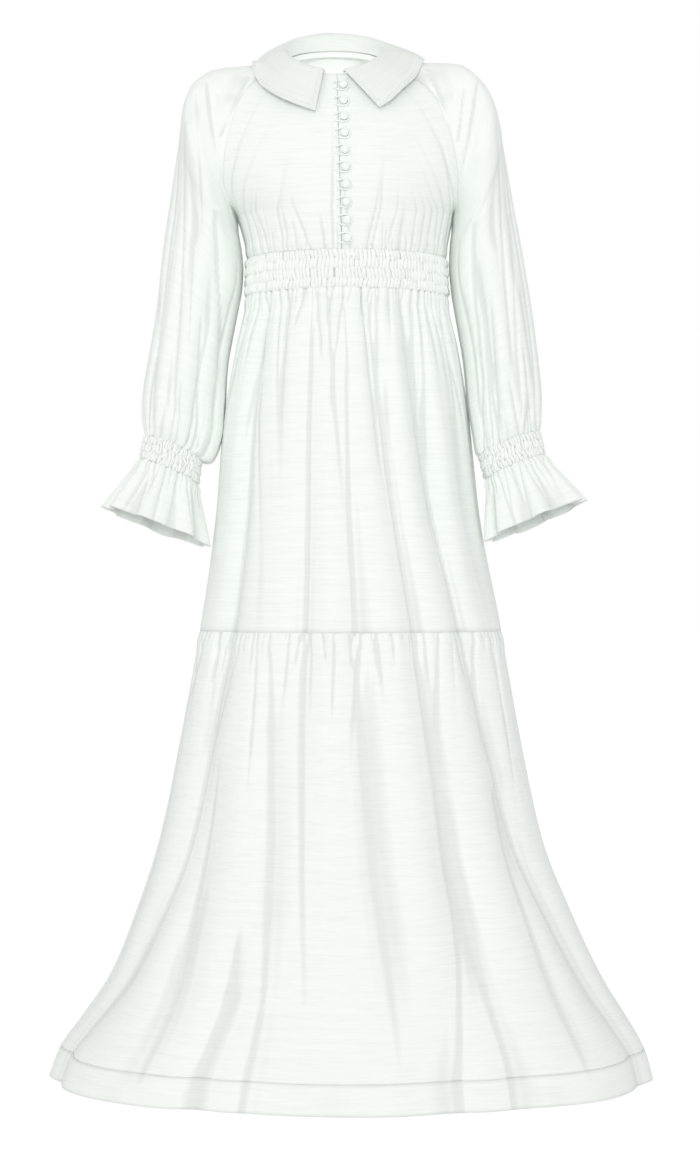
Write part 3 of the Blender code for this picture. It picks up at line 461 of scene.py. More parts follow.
def spread_rows(grid: np.ndarray, near: np.ndarray, middle: int, both: bool) -> np.ndarray:
    """Moves the rows of a grid to set distances from its last row, and from its first one if both.

    Args:
        grid: Points as (rows, columns, 3).
        near: Distances from the edge, rising from 0, at which the closest rows lie.
        middle: How many rows share the rest evenly.
        both: Whether the first rows are crowded as well.

    Returns:
        The new grid, with each point still on its column's line.
    """
    run = arc_lengths(grid)
    first = near if both else np.zeros(1)
    columns = []
    for column, length in enumerate(run[-1]):
        rest = np.linspace(first[-1], length - near[-1], middle + 2)[1:-1]
        at = np.concatenate([first, rest, length - near[::-1]])
        columns.append(resample(grid[:, column], run[:, column], at))
    return np.stack(columns, axis=1)


def normals_of(grid: np.ndarray, closed: bool) -> np.ndarray:
    """Unit normals of a grid, as the cross product of its differences across and down."""
    across = np.roll(grid, -1, axis=1) - np.roll(grid, 1, axis=1) if closed else np.gradient(grid, axis=1)
    return unit(np.cross(across, np.gradient(grid, axis=0)))


def looks_along(grid: np.ndarray, closed: bool, out: np.ndarray) -> bool:
    """Whether a grid's normals point mostly along a direction, or along one for each point."""
    return float((normals_of(grid, closed) * out).sum(axis=-1).mean()) > 0


def row_lengths(grid: np.ndarray, closed: bool) -> np.ndarray:
    """The length of each row of a grid, as a column."""
    steps = np.linalg.norm(np.diff(grid, axis=1), axis=-1).sum(axis=1)
    return (steps + np.linalg.norm(grid[:, 0] - grid[:, -1], axis=-1) * closed)[:, None]


@dataclass(frozen=True)
class Gathers:
    """Small folds that leave a gathered seam and die out."""

    count: int
    depth: float
    reach: float
    seed: int
    half_width: float = 0.0032
    start: float = 0.012
    jitter: float = 0.38
    drift: float = 0.10
    widening: float = 7.0

    def pull(self, place: np.ndarray, below: np.ndarray, width: np.ndarray) -> np.ndarray:
        """How far the gathers pull the cloth in.

        Each gather is a bell-shaped trough that starts at the seam, deepens over a short start, widens
        as it leaves the seam, drifts a little to one side and fades with its own reach.

        Args:
            place: Share of the way along the seam, 0 to 1, as (1, columns) or a full grid.
            below: Distance from the seam, as (rows, 1) or a full grid.
            width: Length of the row of cloth, as (rows, 1).

        Returns:
            The depth at each point of the grid.
        """
        rng = np.random.default_rng(self.seed)
        below = np.maximum(below, 0)
        total = np.zeros(np.broadcast(place, below).shape)
        for number in range(self.count):
            centre = (number + 0.5 + rng.uniform(-self.jitter, self.jitter)) / self.count
            drift = rng.normal(0, self.drift)
            reach = self.reach * rng.lognormal(-0.15, 0.55)
            depth = self.depth * rng.uniform(0.45, 1.2)
            size = self.half_width * rng.uniform(0.7, 1.35)
            off = (place - centre + 0.5) % 1 - 0.5
            across = off * width - drift * below
            along = (0.35 + 0.65 * (1 - np.exp(-below / self.start))) * np.exp(-((below / reach) ** 1.5))
            total = total + depth * along * bell(across, size * (1 + self.widening * below))
        return total


@dataclass(frozen=True)
class Undulation:
    """Slow uneven swelling of cloth: a few waves round and down it with random phases."""

    waves: int
    depth: float
    seed: int
    lowest: int = 3
    lean: float = 2.5

    def swell(self, place: np.ndarray, down: np.ndarray) -> np.ndarray:
        """The sum of cosines of whole numbers of turns, each leaning and fading down the cloth.

        Args:
            place: Share of the way round, 0 to 1.
            down: Distance down the cloth, in metres.

        Returns:
            The offset at each point.
        """
        rng = np.random.default_rng(self.seed)
        total = np.zeros(np.broadcast(place, down).shape)
        for number in range(self.lowest, self.lowest + self.waves):
            lean, phase, beat = rng.normal(0, self.lean), rng.uniform(0, TURN), rng.uniform(3, 11)
            fade = 0.65 + 0.35 * np.cos(beat * down + rng.uniform(0, TURN))
            total = total + np.cos(TURN * number * place + lean * down + phase) * fade
        return self.depth * total / math.sqrt(self.waves)


def grid_faces(rows: int, columns: int, closed: bool, outwards: bool) -> tuple[np.ndarray, np.ndarray]:
    """Quads of a grid that face outwards, as point numbers and as numbers into a grid of map places.

    Args:
        rows: The grid's rows.
        columns: The grid's columns.
        closed: Whether the last column joins the first one.
        outwards: Whether normals_of gives outward normals for the grid, or inward ones.

    Returns:
        The faces by point and the faces by map place; a closed grid's map has one more column.
    """
    wide = columns + closed
    i, j = np.meshgrid(np.arange(rows - 1), np.arange(wide - 1), indexing="ij")
    here, down, over, along = (i, j), (i + 1, j), (i + 1, j + 1), (i, j + 1)
    corners = [here, along, over, down] if outwards else [down, over, along, here]
    points = np.stack([(a * columns + b % columns).ravel() for a, b in corners], axis=1)
    places = np.stack([(a * wide + b).ravel() for a, b in corners], axis=1)
    return points, places


def cloth_map(grid: np.ndarray, closed: bool, width: float | None = None) -> np.ndarray:
    """Map places of a grid in metres of cloth: along the weft, and down the columns' mean length.

    Args:
        grid: Points as (rows, columns, 3).
        closed: Whether it is a tube, whose map has one more column.
        width: The cloth's width before it was gathered; the widest row's length if it is left out.

    Returns:
        Places as (rows, columns or columns + 1, 2).
    """
    width = float(row_lengths(grid, closed).max()) if width is None else width
    across = np.linspace(0, width, grid.shape[1] + closed)
    return np.stack(np.meshgrid(across, arc_lengths(grid).mean(axis=1)), axis=-1)


def running_mean(values: np.ndarray, reach: int, closed: bool) -> np.ndarray:
    """The mean of each value with those up to reach columns away on both sides."""
    padded = np.pad(values, ((0, 0), (reach + 1, reach)), mode="wrap" if closed else "edge").cumsum(axis=1)
    return (padded[:, 2 * reach + 1:] - padded[:, :-2 * reach - 1]) / (2 * reach + 1)


def hollows(grid: np.ndarray, closed: bool, out: np.ndarray) -> np.ndarray:
    """How hollow the cloth is at each point: 1 in a sharp crease, 0 where it is plain, -1 on a ridge.

    It is how far the mean of two neighbours lies outside the point, over a size that grows with the
    neighbours' distance. It takes near and far neighbours across, and near ones down, less the mean
    of a wide stretch of the row, so that a plain round tube has none. The cloth's material darkens its
    colour by it, as painted shade in the creases.

    Args:
        grid: Points as (rows, columns, 3).
        closed: Whether the last column joins the first one.
        out: A rough outward direction, or one for each point.

    Returns:
        The values as (rows, columns).
    """
    normals = normals_of(grid, closed)
    normals = normals * np.where((normals * out).sum(axis=-1, keepdims=True) < 0, -1, 1)
    total = np.zeros(grid.shape[:2])
    for step, size, axis in HOLLOW_STEPS:
        if closed and axis == 1:
            ahead, behind = np.roll(grid, -step, axis=1), np.roll(grid, step, axis=1)
        else:
            index = np.arange(grid.shape[axis])
            reach = np.minimum(step, np.minimum(index, index[::-1]))
            ahead, behind = grid.take(index + reach, axis), grid.take(index - reach, axis)
        total = total + (((ahead + behind) / 2 - grid) * normals).sum(axis=-1) / size
    return np.clip(total - running_mean(total, min(HOLLOW_STRETCH, grid.shape[1] // 4), closed), -1, 1)


def add_mesh(name: str, points: np.ndarray, faces: np.ndarray, material: bpy.types.Material,
             places: np.ndarray | None = None, map_points: np.ndarray | None = None,
             hollow: np.ndarray | None = None) -> bpy.types.Object:
    """Makes a smooth mesh object, with a cloth map where one is given.

    Args:
        name: The object's name.
        points: Points as (n, 3) or a grid of them.
        faces: Quads as (m, 4) point numbers.
        material: Its finish.
        places: The same quads as numbers into the map, or None for no map.
        map_points: Map places as (k, 2) or a grid of them, or None.
        hollow: How hollow the cloth is at each point, which the material turns into painted crease shade, or
            None for plain.

    Returns:
        The object, linked to the scene.
    """
    mesh = bpy.data.meshes.new(name)
    mesh.from_pydata(points.reshape(-1, 3).tolist(), [], faces.tolist())
    if places is not None:
        layer = mesh.uv_layers.new(name="cloth")
        layer.data.foreach_set("uv", map_points.reshape(-1, 2)[places.ravel()].ravel())
    if hollow is not None:
        mesh.attributes.new("hollow", "FLOAT", "POINT").data.foreach_set("value", hollow.ravel())
    mesh.shade_smooth()
    mesh.materials.append(material)
    obj = bpy.data.objects.new(name, mesh)
    bpy.context.scene.collection.objects.link(obj)
    return obj


def dress(obj: bpy.types.Object, slot: str, *nodes: str) -> bpy.types.Object:
    """Rides a piece on the garment and says which solids it stands for.

    Args:
        obj: The piece.
        slot: Not used.
        nodes: The solids that it replaces.

    Returns:
        The same piece.
    """
    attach(obj, "root")
    if nodes:
        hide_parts(*nodes)
    LOG.info("%s stands for %s", obj.name, ", ".join(nodes) or "no solid")
    return obj


def add_cloth(name: str, node: str, grid: np.ndarray, out: np.ndarray, material: bpy.types.Material,
              closed: bool = False, width: float | None = None, thickness: float = CLOTH,
              slot: str = "slub_cloth") -> bpy.types.Object:
    """Makes a piece of cloth: the grid is its inner face and the thickness goes outwards.

    Args:
        name: The piece's name.
        node: The solid that it replaces.
        grid: Points of the inner face as (rows, columns, 3).
        out: A rough outward direction, or one for each point.
        material: Its finish.
        closed: Whether it is a tube.
        width: The cloth's width before it was gathered, or None for plain cloth.
        thickness: The cloth's thickness.
        slot: A material name that is handed on to dress.

    Returns:
        The piece.
    """
    points, places = grid_faces(*grid.shape[:2], closed, looks_along(grid, closed, out))
    flat = cloth_map(grid, closed, width)
    obj = add_mesh(name, grid, points, material, places, flat, hollows(grid, closed, out))
    wall = obj.modifiers.new("wall", "SOLIDIFY")
    wall.thickness = thickness
    wall.offset = 1
    wall.use_rim = True
    return dress(obj, slot, node)


def add_trim(name: str, node: str, grid: np.ndarray, out: np.ndarray, material: bpy.types.Material,
             map_scale: float = 1.0) -> bpy.types.Object:
    """Makes a small closed piece of trim from rings of points, whose ends close to a point.

    Args:
        name: The piece's name.
        node: The solid that it replaces.
        grid: Rings as (rings, points, 3).
        out: The outward direction at each point.
        material: Its finish.
        map_scale: The size of its map against the cloth's.

    Returns:
        The piece.
    """
    outwards = looks_along(grid, True, out)
    ends = np.repeat(grid[[0, -1]].mean(axis=1, keepdims=True), grid.shape[1], axis=1)
    grid = np.concatenate([ends[:1], grid, ends[1:]])
    points, places = grid_faces(*grid.shape[:2], True, outwards)
    obj = add_mesh(name, grid, points, material, places, cloth_map(grid, True) * map_scale)
    obj.modifiers.new("ends", "WELD").merge_threshold = 0.00002
    return dress(obj, "covered_trim", node)


def trees_of(pieces: Sequence[bpy.types.Object]) -> list[BVHTree]:
    """Search trees of pieces, with their walls."""
    graph = bpy.context.evaluated_depsgraph_get()
    return [BVHTree.FromObject(obj, graph) for obj in pieces]


def feed(node: bpy.types.Node, inputs: dict) -> bpy.types.Node:
    """Gives a node its inputs.

    Args:
        node: The node.
        inputs: By each input's name or number, the socket to link to it or the constant to set on it.

    Returns:
        The same node.
    """
    for name, value in inputs.items():
        if isinstance(value, bpy.types.NodeSocket):
            node.id_data.links.new(value, node.inputs[name])
        else:
            node.inputs[name].default_value = value
    return node


def new_material(name: str) -> tuple[bpy.types.Material, bpy.types.Nodes]:
    """A new material and its nodes."""
    material = bpy.data.materials.new(name)
    material.use_nodes = True
    return material, material.node_tree.nodes


class Streaks(NamedTuple):
    """A noise stretched on the cloth's map, and the values of it that become 0 and 1.

    Across and down say how often it changes for each metre.
    """

    across: float
    down: float
    detail: float
    low: float
    high: float


SLUBS = Streaks(20.0, 400.0, 3.0, 0.47, 0.70)
BANDS = Streaks(5.0, 110.0, 2.0, 0.35, 0.75)
RIB = Streaks(1250.0, 300.0, 1.0, 0.2, 0.8)


@dataclass(frozen=True)
class SlubJersey:
    """The garment's cloth: white slub jersey with thick and thin yarns across it."""

    name: str = "slub_jersey"
    white: Colour = (0.915, 0.955, 0.915)
    shade: Colour = (0.800, 0.850, 0.805)
    # crease: the share of the colour left in the deepest crease, as painted shade.
    crease: float = 0.875
    streak_share: float = 0.55
    band_share: float = 0.40
    rib_share: float = 0.30
    relief: float = 0.00028

    def build(self) -> bpy.types.Material:
        """Makes the material.

        Two stretched noises run along the cloth's width on its map: long faint bands and short thick
        slubs. A fine rib runs down it. They tint the white and raise the surface. The point attribute
        "hollow" darkens the base colour in the creases, down to the share crease: painted shade there.

        Returns:
            The material.
        """
        material, nodes = new_material(self.name)
        place = nodes.new("ShaderNodeUVMap")
        place.uv_map = "cloth"
        slub, band, rib = (self.streaks(nodes, place, noise) for noise in (SLUBS, BANDS, RIB))
        both = self.blend(nodes, slub, band, self.band_share)
        height = self.blend(nodes, both, rib, self.rib_share)
        amount = nodes.new("ShaderNodeMath")
        amount.operation = "MULTIPLY"
        feed(amount, {0: both, 1: self.streak_share})
        tint = nodes.new("ShaderNodeMix")
        tint.data_type = "RGBA"
        feed(tint, {"Factor": amount.outputs[0], "A": (*self.white, 1), "B": (*self.shade, 1)})
        # Painted shade: the colour darkens with the point attribute "hollow", most in sharp creases.
        hollow = nodes.new("ShaderNodeAttribute")
        hollow.attribute_name = "hollow"
        painted_shade = feed(nodes.new("ShaderNodeMapRange"), {"Value": hollow.outputs["Fac"], "From Min": 0.04,
                                                      "To Min": 1.0, "To Max": self.crease})
        shaded = nodes.new("ShaderNodeVectorMath")
        shaded.operation = "SCALE"
        feed(shaded, {"Vector": tint.outputs["Result"], "Scale": painted_shade.outputs["Result"]})
        bump = feed(nodes.new("ShaderNodeBump"), {"Strength": 0.6, "Distance": self.relief, "Height": height})
        feed(nodes["Principled BSDF"], {
            "Base Color": shaded.outputs["Vector"], "Normal": bump.outputs["Normal"], "Roughness": 0.92,
            "Specular IOR Level": 0.12, "Sheen Weight": 0.08, "Sheen Roughness": 0.6})
        return material

    @staticmethod
    def streaks(nodes: bpy.types.Nodes, place: bpy.types.Node, noise: Streaks) -> bpy.types.NodeSocket:
        """Adds the nodes of one stretched noise.

        Args:
            nodes: The material's nodes.
            place: The map's node.
            noise: What it looks like.

        Returns:
            The socket with the streaks.
        """
        stretch = feed(nodes.new("ShaderNodeMapping"), {"Vector": place.outputs["UV"],
                                                        "Scale": (noise.across, noise.down, 1.0)})
        texture = feed(nodes.new("ShaderNodeTexNoise"), {"Vector": stretch.outputs["Vector"], "Scale": 1.0,
                                                         "Detail": noise.detail})
        cut = feed(nodes.new("ShaderNodeMapRange"), {"Value": texture.outputs["Fac"], "From Min": noise.low,
                                                     "From Max": noise.high})
        return cut.outputs["Result"]

    @staticmethod
    def blend(nodes: bpy.types.Nodes, first: bpy.types.NodeSocket, second: bpy.types.NodeSocket,
              share: float) -> bpy.types.NodeSocket:
        """A mix of two values, with the given share of the second."""
        mix = feed(nodes.new("ShaderNodeMix"), {"Factor": share, "A": first, "B": second})
        return mix.outputs["Result"]


@dataclass(frozen=True)
class SewingThread:
    """White polyester thread of the stitches."""

    name: str = "sewing_thread"
    colour: Colour = (0.86, 0.90, 0.865)
    twist: float = 2500.0

    def build(self) -> bpy.types.Material:
        """Makes the material, with a fine twist as bump on Object coordinates.

        Returns:
            The material.
        """
        material, nodes = new_material(self.name)
        place = nodes.new("ShaderNodeTexCoord").outputs["Object"]
        noise = feed(nodes.new("ShaderNodeTexNoise"), {"Vector": place, "Scale": self.twist})
        bump = feed(nodes.new("ShaderNodeBump"), {"Height": noise.outputs["Fac"], "Distance": 0.0001})
        feed(nodes["Principled BSDF"], {
            "Base Color": (*self.colour, 1), "Normal": bump.outputs["Normal"], "Roughness": 0.6,
            "Specular IOR Level": 0.3})
        return material


@dataclass(frozen=True)
class Finishes:
    """The garment's materials."""

    cloth: bpy.types.Material
    smocked: bpy.types.Material
    # The collar's jersey, painted greyer all over as shade on a collar that faces upwards.
    shaded_collar: bpy.types.Material
    thread: bpy.types.Material


def add_stitches(name: str, paths: Sequence[tuple[np.ndarray, np.ndarray]], material: bpy.types.Material,
                 pitch: float = 0.0030, length: float = 0.0021, radius: float = 0.00030) -> None:
    """Makes rows of sewn stitches as one piece.

    Each stitch is a four-sided spindle of a few sections along the path, sunk halfway into the cloth:
    a point at arc length s is the path's point, offset by the section's radius across and outwards.

    Args:
        name: The piece's name.
        paths: The points (n, 3) of each row of stitches, and its outward direction or directions.
        material: The thread.
        pitch: Distance from one stitch to the next.
        length: A stitch's length.
        radius: The thread's radius.
    """
    share, size, rise = np.array(STITCH_SECTIONS).T
    sections, corners = len(share), 4 * len(share)
    quads = [[s * 4 + k, s * 4 + 4 + k, s * 4 + 4 + (k + 1) % 4, s * 4 + (k + 1) % 4]
             for s in range(sections - 1) for k in range(4)]
    quads += [[0, 1, 2, 3], [corners - 4, corners - 1, corners - 2, corners - 3]]
    all_points, all_faces, start = [], [], 0
    for path, out in paths:
        run = arc_lengths(path)
        count = max(int(run[-1] / pitch), 1)
        at = ((np.arange(count) + 0.5) * run[-1] / count - length / 2)[:, None] + share * length
        spot = resample(path, run, at)
        lift = unit(resample(np.broadcast_to(out, path.shape), run, at))
        across = unit(np.cross(unit(np.gradient(spot, axis=1)), lift))
        middle = spot + lift * radius * rise[:, None]
        ring = [middle + radius * size[:, None] * (across * math.cos(turn) + lift * math.sin(turn))
                for turn in TURN * shares_round(4)]
        faces = start + np.arange(count)[:, None, None] * corners + np.array(quads)
        all_points.append(np.stack(ring, axis=2).reshape(-1, 3))
        all_faces.append(faces.reshape(-1, 4))
        start += count * corners
    obj = add_mesh(name, np.concatenate(all_points), np.concatenate(all_faces), material)
    dress(obj, "covered_trim")


@dataclass
class SkirtForm:
    """The form that the waistband, the tiers and the hem share."""

    finishes: Finishes
    waist_gathers: Gathers = Gathers(58, 0.0074, 0.125, 11, 0.0028)
    fine_waist: Gathers = Gathers(104, 0.0030, 0.036, 12, 0.0017, 0.005)
    tier_gathers: Gathers = Gathers(74, 0.0040, 0.058, 13, 0.0032)
    fine_tier: Gathers = Gathers(140, 0.0019, 0.020, 14, 0.0021, 0.004)
    swell: Undulation = Undulation(13, 0.0030, 15, 5)

    @staticmethod
    def trough(theta: np.ndarray, z: np.ndarray) -> np.ndarray:
        """How far the long folds pull the skirt in: a wide bell with a sharp one along its middle.

        A fold goes along its run as the root of a half sine, or, if it runs out of the hem, it deepens
        over a short start and stays. Below the tier seam it is shallower, wider and less sharp.

        Args:
            theta: Degrees round the skirt.
            z: Heights.

        Returns:
            The depth at each point.
        """
        depth = np.zeros(np.broadcast(theta, z).shape)
        lower = ramp((TIER_SEAM - z) / 0.10)
        narrow = 1.5 - 0.9 * ramp((WAIST_LOW - z) / 1.1)
        for fold in FOLDS:
            at = smooth(z, FOLD_HEIGHTS, (fold.waist, fold.seam, fold.knee, fold.hem))
            off = (theta - at + 180) % 360 - 180
            if fold.low < HEM_LOW:
                along = ramp((fold.top - z) / 0.12)
            else:
                along = np.sin(math.pi * ramp((fold.top - z) / (fold.top - fold.low))) ** 0.6
            wide = (1 - 0.22 * lower) * fold.depth * bell(off, fold.half_width * (1 + 0.15 * lower))
            sharp = (1 - 0.60 * lower) * fold.crease * bell(off - 0.4 * narrow, narrow * (1 + 0.5 * lower))
            depth = depth + along * (wide + sharp)
        return depth

    def surface(self, theta: np.ndarray, z: np.ndarray, pulled: np.ndarray | float = 0.0,
                ) -> tuple[np.ndarray, np.ndarray]:
        """Points of the skirt and its outward level directions.

        Each level is an ellipse whose front and back have their own depths, moved in by the long
        folds and by the given depth.

        Args:
            theta: Degrees round it.
            z: Heights.
            pulled: Extra depth inwards.

        Returns:
            The points and the outward directions.
        """
        theta, z = np.broadcast_arrays(theta, z)
        cos, sin = np.cos(np.radians(theta)), np.sin(np.radians(theta))
        centre, half_width, front, back = read_table(
            SKIRT, z, [row.z for row in SKIRT], "centre", "half_width", "front", "back")
        depth = np.where(sin >= 0, front, back)
        out = unit(np.stack([cos / half_width, -sin / depth, 0 * z], axis=-1))
        points = np.stack([centre + half_width * cos, SIDE_Y - depth * sin, z], axis=-1)
        return points - out * (self.trough(theta, z) + pulled)[..., None], out

    def cloth_depth(self, theta: np.ndarray, z: np.ndarray) -> np.ndarray:
        """How far gathers, seams and slow swells pull the skirt's cloth in.

        Gathers fall from the waistband and, fewer of them, on past the tier seam, where new ones
        start. The seams are narrow bells, and the cloth puffs out in a wider bell below each.

        Args:
            theta: Degrees round it.
            z: Heights.

        Returns:
            The depth at each point.
        """
        place = theta / 360
        ring, _ = self.surface(np.linspace(0, 360, 181), z)
        width = row_lengths(ring, False)
        under_waist, under_seam = WAIST_LOW - z, TIER_SEAM - z
        upper = self.waist_gathers.pull(place, under_waist, width)
        upper = upper + self.fine_waist.pull(place, under_waist, width)
        lower = self.tier_gathers.pull(place, under_seam, width)
        lower = lower + self.fine_tier.pull(place, under_seam, width)
        drawn = ramp(ramp(-under_seam / 0.03) + 0.2)
        pull = np.where(under_seam <= 0, upper * drawn, lower + 0.6 * upper)
        seam = 0.0002 * bell(under_seam, 0.0030) + 0.0004 * bell(z - HEM_SEAM, 0.0022)
        puff = 0.0018 * bell(under_seam - 0.014, 0.010) * (under_seam > 0)
        puff = puff + 0.0024 * bell(under_waist - 0.009, 0.008)
        return pull + seam - puff - ramp(under_waist / 0.20) * self.swell.swell(place, -z)

    def half(self, name: str, node: str, start: float, heights: np.ndarray, columns: int,
             cut_width: float, thickness: float = CLOTH, tucks: np.ndarray | float = 0.0,
             ) -> bpy.types.Object:
        """Makes half of a tier, from the angle start round to start + 180.

        Args:
            name: The piece's name.
            node: The solid that it stands for.
            start: Where it starts, in degrees.
            heights: The heights of its rows, as (rows, 1).
            columns: How many columns it has.
            cut_width: The cloth's width before it was gathered.
            thickness: The cloth's thickness.
            tucks: How far each row is tucked in under a neighbour, as (rows, 1).

        Returns:
            The piece.
        """
        theta = np.linspace(start, start + 180, columns)[None, :]
        edge = 0.0006 * (bell(theta - start, 0.5) + bell(theta - start - 180, 0.5))
        grid, out = self.surface(theta, heights, self.cloth_depth(theta, heights) + edge + tucks)
        grid[:, [0, -1], 1] += SEAM_GAP / 2 * (1 if start else -1)
        return add_cloth(name, node, grid, out, self.finishes.cloth, False, cut_width, thickness)

    def build(self) -> None:
        """Makes both tiers and the hem band, each with a front and a back, and the hem's stitching."""
        upper = np.concatenate([np.linspace(WAIST_LOW - 0.0003, -0.39, 26),
                                np.linspace(-0.398, TIER_SEAM + 0.0003, 44)])[:, None]
        lower = np.concatenate([[TIER_SEAM + 0.0010], np.linspace(TIER_SEAM - 0.0006, -0.86, 24),
                                np.linspace(-0.872, HEM_SEAM + 0.0030, 42), [HEM_SEAM - 0.0012]])[:, None]
        tuck = 0.0006 * ramp((lower - TIER_SEAM + 0.0030) / 0.0030)
        tuck = tuck + 0.0008 * ramp((HEM_SEAM + 0.0030 - lower) / 0.0030)
        band = np.linspace(HEM_SEAM - 0.0003, HEM_LOW, 8)[:, None]
        for side, start, wide in (("front", 0.0, 320), ("back", 180.0, 230)):
            piece = self.half(f"upper_tier_{side}", f"skirt_upper_{side}", start, upper, wide, 0.70)
            piece = self.half(f"lower_tier_{side}", f"skirt_lower_{side}", start, lower, wide, 1.30,
                              tucks=tuck)
            piece = self.half(f"hem_turn_{side}", f"hem_band_{side}", start, band, wide, 1.30, DOUBLE_CLOTH)
        theta = np.linspace(0, 360, 900)[None, :]
        z = np.array([[HEM_SEAM + 0.003]])
        path, out = self.surface(theta, z, self.cloth_depth(theta, z))
        add_stitches("hem_stitching", [(path[0], out[0])], self.finishes.thread)


@dataclass(frozen=True)
class Smocking:
    """Cloth drawn up on rows of elastic stitching."""

    rows: int
    pleats: int
    puff: float
    seed: int
    taper: float = 0.08

    def raised(self, place: np.ndarray, level: np.ndarray) -> np.ndarray:
        """How far the cloth stands out of the elastic rows.

        Between two rows of stitches the cloth puffs as a half sine, cut into upright pleats. The pleats
        are a folded cosine of the place, whose phase wanders round the band and differs from row to
        row, so that they slant and change places at the stitches. Both ends taper into the
        neighbouring cloth.

        Args:
            place: Share of the way round, 0 to 1.
            level: Share of the way down, 0 to 1.

        Returns:
            The height at each point.
        """
        rng = np.random.default_rng(self.seed)
        at = np.clip(level * self.rows, 0, self.rows - 1e-6)
        row = at.astype(int)
        within = at - row
        wander = np.zeros(np.broadcast(place, level).shape)
        height = np.zeros_like(wander)
        for turns in (3, 5, 8, 13, 21, 34, 47):
            phases = rng.uniform(0, TURN, self.rows)
            sizes = rng.uniform(0.25, 0.75, self.rows)
            wander = wander + sizes[row] * np.cos(TURN * turns * place + phases[row])
            height = height + 0.13 * np.cos(TURN * (2 * turns + 9) * place + 3 * phases[row])
        slants = rng.uniform(1.8, 3.4, self.rows)[row] * (-1) ** row
        slants = slants + 1.2 * np.cos(TURN * 7 * place + row * 2.1)
        phase = TURN * self.pleats * place + 1.1 * wander + slants * (within - 0.5)
        pleat = np.abs(np.cos(phase / 2)) ** 0.6
        swell = np.sin(math.pi * within) ** 0.5
        vary = np.clip(0.85 + height, 0.45, 1.25)
        ends = np.sqrt(ramp(np.minimum(level, 1 - level) / self.taper))
        return self.puff * ends * (0.12 * swell + (0.50 + 0.32 * swell) * pleat * vary)


@dataclass
class Waistband:
    """The smocked band round the high waist."""

    finishes: Finishes
    form: SkirtForm
    columns: int = 1300
    levels: int = 27
    overlap: float = 0.0014
    sunk: float = 0.0008
    smocking: Smocking = Smocking(4, 158, 0.0048, 21)

    def build(self) -> None:
        """Makes the band, which laps a little over the bodice and the skirt."""
        place = shares_round(self.columns)[None, :]
        level = np.linspace(0, 1, self.levels)[:, None]
        z = WAIST_TOP + self.overlap + (WAIST_LOW - WAIST_TOP - 2 * self.overlap) * level
        grid, out = self.form.surface(360 * place, z, self.sunk - self.smocking.raised(place, level))
        obj = add_cloth("waistband_smocking", "waistband", grid, out, self.finishes.smocked, True, 1.5,
                        slot="smocked_cloth")


